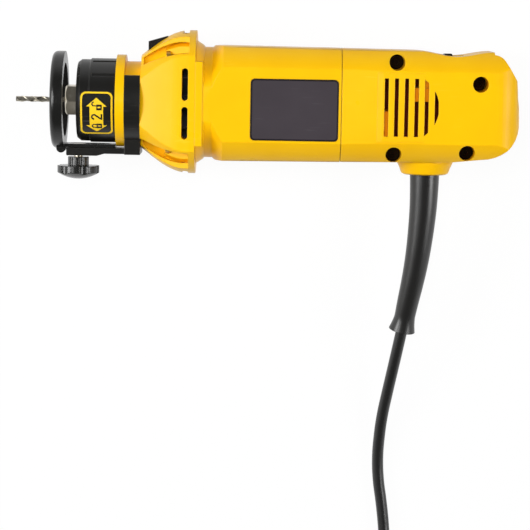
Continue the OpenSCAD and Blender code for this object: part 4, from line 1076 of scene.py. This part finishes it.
@dataclass
class SleeveMarks:
    """Raised pad on the sleeve with its frame, double arrow, two padlocks and a number."""

    radius: float = 25.0
    middle: float = -18.0
    centre_x: float = 27.6
    length: float = 19.0
    height: float = 27.6
    corner: float = 3.2
    frame_width: float = 1.05
    frame_easing: float = 0.6
    pad_margin: float = 0.5
    pad_lift: tuple[float, float] = (-1.6, 0.12)
    print_lift: tuple[float, float] = (0.1, 0.2)
    sign_lift: tuple[float, float] = (0.18, 0.27)
    slice_height: float = 0.55
    slice_merge: float = 1e-4
    arrow_tips: tuple[float, float] = (-11.6, 10.3)
    arrow_shaft: tuple[float, float] = (-6.9, 5.1)
    head_half: float = 6.1
    shaft_half: float = 4.0
    sign_shift: float = 0.1
    sign_places: Sequence[tuple[Sign, float]] = (
        (Sign.OPEN_LOCK, 4.6), (Sign.NUMBER, -1.2), (Sign.CLOSED_LOCK, -7.3))
    numeral: Sequence[Flat] = (*arc((0.0, 1.5), 1.35, 170, -25), (-1.45, -2.9), (1.6, -2.9))
    numeral_stroke: float = 0.95
    closed_bow: Sequence[Flat] = ((-1.1, 0.3), *arc((0.0, 1.5), 1.1, 180, 0), (1.1, 0.3))
    open_bow: Sequence[Flat] = ((0.9, 0.2), (0.9, 1.5), *arc((2.0, 1.6), 1.1, 180, 10))
    bow_stroke: float = 0.7
    stroke_overlap: float = 0.28
    lock_half: float = 1.7
    lock_ends: tuple[float, float] = (-3.1, 0.1)
    keyhole_half: float = 0.4
    keyhole_ends: tuple[float, float] = (-2.4, -0.6)
    bar_gap: float = 0.02

    def bent(self, x: float, v: float, lift: float) -> Vector:
        """Place of a point of the flat design on the sleeve.

        Args:
            x: Millimetres behind the middle of the pad.
            v: Millimetres up round the sleeve from the middle of the pad.
            lift: Millimetres above the sleeve.

        Returns:
            The point in metres.
        """
        angle = math.radians(self.middle) + v / self.radius
        reach = self.radius + lift
        return at(self.centre_x + x, reach * math.sin(angle), reach * math.cos(angle))

    def plate(self, name: str, shapes: Sequence[Sequence[Flat]], lifts: tuple[float, float], finish: Finish,
              opening: bool = False) -> bpy.types.Object:
        """Makes a thin raised mark that follows the sleeve.

        Args:
            name: The piece's name.
            shapes: Closed flat outlines in millimetres.
            lifts: Lift of its underside and of its face.
            finish: Its finish.
            opening: Whether the second outline is cut out of the first.

        Returns:
            The new object.
        """
        low, high = lifts
        work = bmesh.new()
        loops = [[work.verts.new((x, v, 0)) for x, v in shape] for shape in shapes]
        if opening:
            skin(work, loops, closed=False)
        else:
            for loop in loops:
                work.faces.new(loop)
        bmesh.ops.triangulate(work, faces=work.faces)
        slices = math.ceil((self.height / 2 + self.pad_margin) / self.slice_height)
        for k in range(-slices, slices + 1):
            bmesh.ops.bisect_plane(work, geom=[*work.verts, *work.edges, *work.faces], dist=self.slice_merge,
                                   plane_co=(0, k * self.slice_height, 0), plane_no=(0, 1, 0))
        raised = bmesh.ops.extrude_face_region(work, geom=work.faces[:])["geom"]
        top = {part for part in raised if isinstance(part, bmesh.types.BMVert)}
        for vert in work.verts:
            vert.co = self.bent(vert.co.x, vert.co.y, high if vert in top else low)
        return new_piece(name, settle(work, bpy.data.meshes.new(name)), finish, "sleeve")

    def strokes(self, line: Sequence[Flat], width: float) -> list[list[Flat]]:
        """Flat strips along a line, one for each of its spans.

        Args:
            line: Points of the line.
            width: Width of the strips.

        Returns:
            The strips' outlines.
        """
        strips = []
        for (ax, ay), (bx, by) in zip(line, line[1:]):
            along = Vector((bx - ax, by - ay)).normalized()
            side = Vector((-along.y, along.x)) * width / 2
            more = along * width * self.stroke_overlap
            ax, ay, bx, by = ax - more.x, ay - more.y, bx + more.x, by + more.y
            strips.append([(ax + side.x, ay + side.y), (ax - side.x, ay - side.y),
                           (bx - side.x, by - side.y), (bx + side.x, by + side.y)])
        return strips

    def lock_body(self) -> list[list[Flat]]:
        """Outlines of a padlock's body, as four bars round its keyhole.

        Returns:
            The bars' outlines.
        """
        side, hole = self.lock_half, self.keyhole_half
        apart = hole + self.bar_gap
        low, high = self.lock_ends
        bottom, top = self.keyhole_ends
        bars = ((-side, low, -apart, high), (apart, low, side, high),
                (-hole, top, hole, high), (-hole, low, hole, bottom))
        return [[(a, b), (c, b), (c, d), (a, d)] for a, b, c, d in bars]

    def sign(self, sign: Sign) -> list[list[Flat]]:
        """Outlines of one mark, drawn with its top towards the bit.

        Args:
            sign: Which mark.

        Returns:
            Its flat outlines about its own middle.
        """
        if sign is Sign.NUMBER:
            shapes = self.strokes(self.numeral, self.numeral_stroke)
        else:
            bow = self.open_bow if sign is Sign.OPEN_LOCK else self.closed_bow
            shapes = [*self.lock_body(), *self.strokes(bow, self.bow_stroke)]
        return [[(-y, x) for x, y in shape] for shape in shapes]

    def arrow(self) -> list[list[Flat]]:
        """Outlines of the double arrow.

        Returns:
            Its two heads and its shaft.
        """
        first, last = self.arrow_tips
        low, high = self.arrow_shaft
        head, shaft = self.head_half, self.shaft_half
        return [[(0.0, last), (-head, high), (head, high)],
                [(-shaft, high), (-shaft, low), (shaft, low), (shaft, high)],
                [(-head, low), (0.0, first), (head, low)]]

    def build(self) -> None:
        """Builds the pad and its marks."""
        margin, width = self.pad_margin, self.frame_width
        pad = rounded_outline(self.length + 2 * margin, self.height + 2 * margin, self.corner + margin)
        whole = rounded_outline(self.length, self.height, self.corner)
        inside = rounded_outline(self.length - 2 * width, self.height - 2 * width,
                                 self.corner - width * self.frame_easing)
        self.plate("sleeve_pad", [pad], self.pad_lift, BLACK)
        self.plate("sleeve_frame", [whole, inside], self.print_lift, MARK, opening=True)
        self.plate("sleeve_arrow", self.arrow(), self.print_lift, MARK)
        signs = []
        for sign, v in self.sign_places:
            signs += [[(x + self.sign_shift, y + v) for x, y in shape] for shape in self.sign(sign)]
        self.plate("sleeve_signs", signs, self.sign_lift, BLACK)


@dataclass
class Housing:
    """Yellow shells with their panel, inlay and screws."""

    rim_width: float = 0.9
    rim_corners: tuple[float, float] = (2.5, 1.7)
    rim_levels: tuple[float, float] = (-0.2, 0.1)
    shells: Sequence[str] = ("front_housing", "motor_housing", "handle_shell_near", "handle_shell_far")
    screws: Sequence[tuple[str, Finish]] = (("handle_screws", DARK_STEEL), ("housing_screws", ZINC))
    screw_places: Sequence[Flat] = ((203.9, 26.2), (252.8, 14.2), (202.9, -28.1), (246.0, -26.4))
    vent_x: float = 197.82
    vent_pitch: float = 5.9
    vent_width: float = 2.35
    vent_half: float = 17.0
    vent_rows: int = 5
    face_z: float = 31.98
    panel_base: float = 31.5
    panel_lift: float = 0.8
    panel_ramp: float = 3.3
    panel_ends: tuple[float, float] = (-20.4, 20.3)
    panel_span: tuple[float, float] = (192.4, 221.0)
    well_floor: float = 13.0
    # Dark washers on the well floors, which also paint shade into the screw wells
    flange_radius: float = 4.45
    flange_depth: float = 1.0
    flange_gap: float = 0.02
    # Blocks of the dark sheet behind the vents, which is painted shade
    card: Sequence[Block] = (((198.2, -20.5, -0.5), (233.0, 10.5, 0.5)),
                             ((198.2, 10.0, -1.8), (221.4, 18.5, -0.8)))
    # Inner ribs that show through the vents, coloured in the yellow's painted shade tone
    ribs: Sequence[Block] = (((196.3, -17.2, 0.0), (199.6, -2.5, 28.3)),
                             ((213.6, 3.5, 0.0), (222.8, 11.5, 28.3)),
                             ((219.5, 11.7, 12.0), (222.8, 16.8, 28.3)))

    def build_rim(self) -> bpy.types.Object:
        """Makes the dark rim round the label panel.

        Returns:
            The rim object.
        """
        low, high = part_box("label_plate")
        size = (high - low) / MM
        corner, inner_corner = self.rim_corners
        outer = rounded_outline(size.x, size.y, corner)
        inner = rounded_outline(size.x - 2 * self.rim_width, size.y - 2 * self.rim_width, inner_corner)
        face = Vector((*((low + high) / 2).xy, high.z))
        mesh = band_mesh("label_rim", outer, inner, self.rim_levels, face, smooth=False)
        return new_piece("label_rim", mesh, PANEL_RIM, "housing")

    def build_vent_panel(self) -> bpy.types.Object:
        """Makes the low raised panel that the handle's vents run through.

        Returns:
            The panel object.
        """
        low, high = self.panel_ends
        first, last = self.panel_span
        rows = (low, -self.vent_half, self.vent_half, high)
        slots = [self.vent_x + self.vent_pitch * k + side * self.vent_width / 2
                 for k in range(self.vent_rows) for side in (-1, 1)]
        columns = [first, first + self.panel_ramp, *slots[:-1], last]
        fall = last - first - self.panel_ramp
        work = bmesh.new()
        grid = []
        for x in columns:
            z = self.face_z + self.panel_lift * min((x - first) / self.panel_ramp, (last - x) / fall)
            grid.append([work.verts.new(at(x, y, z)) for y in rows])
        for x, left, right in zip(columns, grid, grid[1:]):
            for row in (0, 2) if x in slots[::2] else (0, 1, 2):
                work.faces.new((left[row], right[row], right[row + 1], left[row + 1]))
        for part in bmesh.ops.extrude_face_region(work, geom=work.faces[:])["geom"]:
            if isinstance(part, bmesh.types.BMVert):
                part.co.z = at(0, 0, self.panel_base).z
        mesh = settle(work, bpy.data.meshes.new("vent_panel"), smooth=False)
        return new_piece("vent_panel", mesh, YELLOW, "housing")

    def build_inside(self) -> None:
        """Puts in what shows through the vents and in the screw wells: painted shade behind the vents and in
        the wells, and ribs in a painted shade tone.
        """
        # The dark sheet behind the vents is painted shade
        new_piece("shade_card", box_mesh("shade_card", self.card), SHADE_CARD, "housing")
        # The ribs carry the yellow plastic's painted shade tone
        new_piece("inner_ribs", box_mesh("inner_ribs", self.ribs), SHADED_RIB_YELLOW, "housing")
        # Dark washers under the screw heads fill the wells: partly washers, partly painted shade
        level = self.well_floor + self.flange_depth / 2 + self.flange_gap
        places = [at(x, y, level) for x, y in self.screw_places]
        shade_washers = Discs(self.flange_radius, self.flange_depth)
        shade_washers.build("screw_flanges", DARK_STEEL, "housing", points=places)

    def build(self) -> None:
        """Builds and dresses the shells."""
        for node in self.shells:
            smooth_piece(node, YELLOW, "housing")
        for node, finish in self.screws:
            smooth_piece(node, finish, "housing")
        smooth_piece("label_plate", PANEL, "housing")
        smooth_piece("rear_inlay", BLACK, "housing")
        self.build_rim()
        self.build_vent_panel()
        self.build_inside()


@dataclass
class Nose:
    """Sleeve, nut, collet and bit."""

    spindle_angle: float = 38.0
    land_start: float = -21.3
    land_length: float = 22.9
    land_lead: float = 12.0
    land_radius: float = 1.35
    land_ridge: float = 0.42

    def build_lands(self) -> None:
        """Winds the two cutting lands round the bit."""
        land = Helix(self.land_length / self.land_lead, self.land_radius, self.land_length, self.land_ridge)
        other_hand = Matrix.Scale(-1.0, 3, Vector((0, 1, 0)))
        for name, angle in (("first_land", 0), ("second_land", 180)):
            turn = QUARTER_Y @ other_hand @ Matrix.Rotation(math.radians(angle), 3, "Z")
            land.build(name, STEEL, "spindle", at(self.land_start, 0), turn)

    def build(self) -> None:
        """Builds and dresses the nose."""
        smooth_piece("nose_sleeve", BLACK, "sleeve")
        smooth_piece("sleeve_clip", STEEL, "housing")
        for node, finish in (("collet_nut", STEEL), ("collet", STEEL), ("cutting_bit", BIT)):
            smooth_piece(node, finish, "spindle", self.spindle_angle)
        self.build_lands()
        SleeveMarks().build()


@dataclass
class DepthGuide:
    """Saddle and arm, sliding ring foot and clamping knob."""

    foot_angle: float = 40.0
    thread: Helix = Helix(turns=8.0, radius=2.45, height=6.4, ridge=0.12)
    knob_x: float = 15.5
    thread_top: float = -27.6

    def build(self) -> None:
        """Builds and dresses the depth guide."""
        smooth_piece("guide_bracket", BLACK, "housing")
        smooth_piece("bracket_screws", STEEL, "housing")
        smooth_piece("depth_foot", ENAMEL, "foot", self.foot_angle)
        smooth_piece("depth_knob", GLOSS_BLACK, "knob")
        smooth_piece("depth_stud", STEEL, "knob")
        self.thread.build("stud_thread", STEEL, "knob", at(self.knob_x, self.thread_top), QUARTER_X)


@dataclass
class Motor:
    """Armature, field, brushes, bearings and fan inside the shells."""

    turning: Sequence[tuple[str, Finish]] = (
        ("armature_shaft", STEEL), ("armature_core", STACK), ("armature_windings", COPPER),
        ("commutator", COPPER), ("cooling_fan", FAN))
    still: Sequence[tuple[str, Finish]] = (
        ("front_bearing", STEEL), ("rear_bearing", STEEL), ("field_core", STACK), ("field_coils", COPPER),
        ("fan_baffle", FAN), ("brush_holders", HOLDER), ("carbon_brushes", CARBON), ("brush_springs", STEEL))

    def build(self) -> None:
        """Builds and dresses the motor."""
        for body, pieces in (("spindle", self.turning), ("housing", self.still)):
            for node, finish in pieces:
                smooth_piece(node, finish, body)


@dataclass
class Controls:
    """Spindle lock, thumb switch and cord clamp."""

    thumb_ribs: RibRow = RibRow(count=2, pitch=2.2, length=11.0, radius=0.4)
    rib_reach: float = 6.4
    ridge_height: float = 1.7

    def build(self) -> None:
        """Builds and dresses the controls."""
        smooth_piece("lock_button", BLACK, "lock")
        smooth_piece("lock_spring", STEEL, "housing")
        smooth_piece("switch_body", BLACK, "housing")
        smooth_piece("switch_slider", BLACK, "switch")
        low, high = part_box("switch_slider")
        middle = (low + high) / 2
        for name, sign in (("front_thumb_ribs", -1), ("rear_thumb_ribs", 1)):
            place = Vector((middle.x + sign * self.rib_reach * MM, high.y - self.ridge_height * MM, middle.z))
            self.thumb_ribs.build(name, BLACK, "switch", place, QUARTER_X)
        smooth_piece("cord_clamp", BLACK, "housing")


def main() -> None:
    """Builds the studio, then the tool piece by piece."""
    logging.basicConfig(level=logging.INFO, format="%(message)s")
    for part in (Studio(), MainsLead(), Housing(), Nose(), DepthGuide(), Motor(), Controls()):
        LOG.info("building %s", type(part).__name__)
        part.build()


if __name__ == "__main__":
    main()
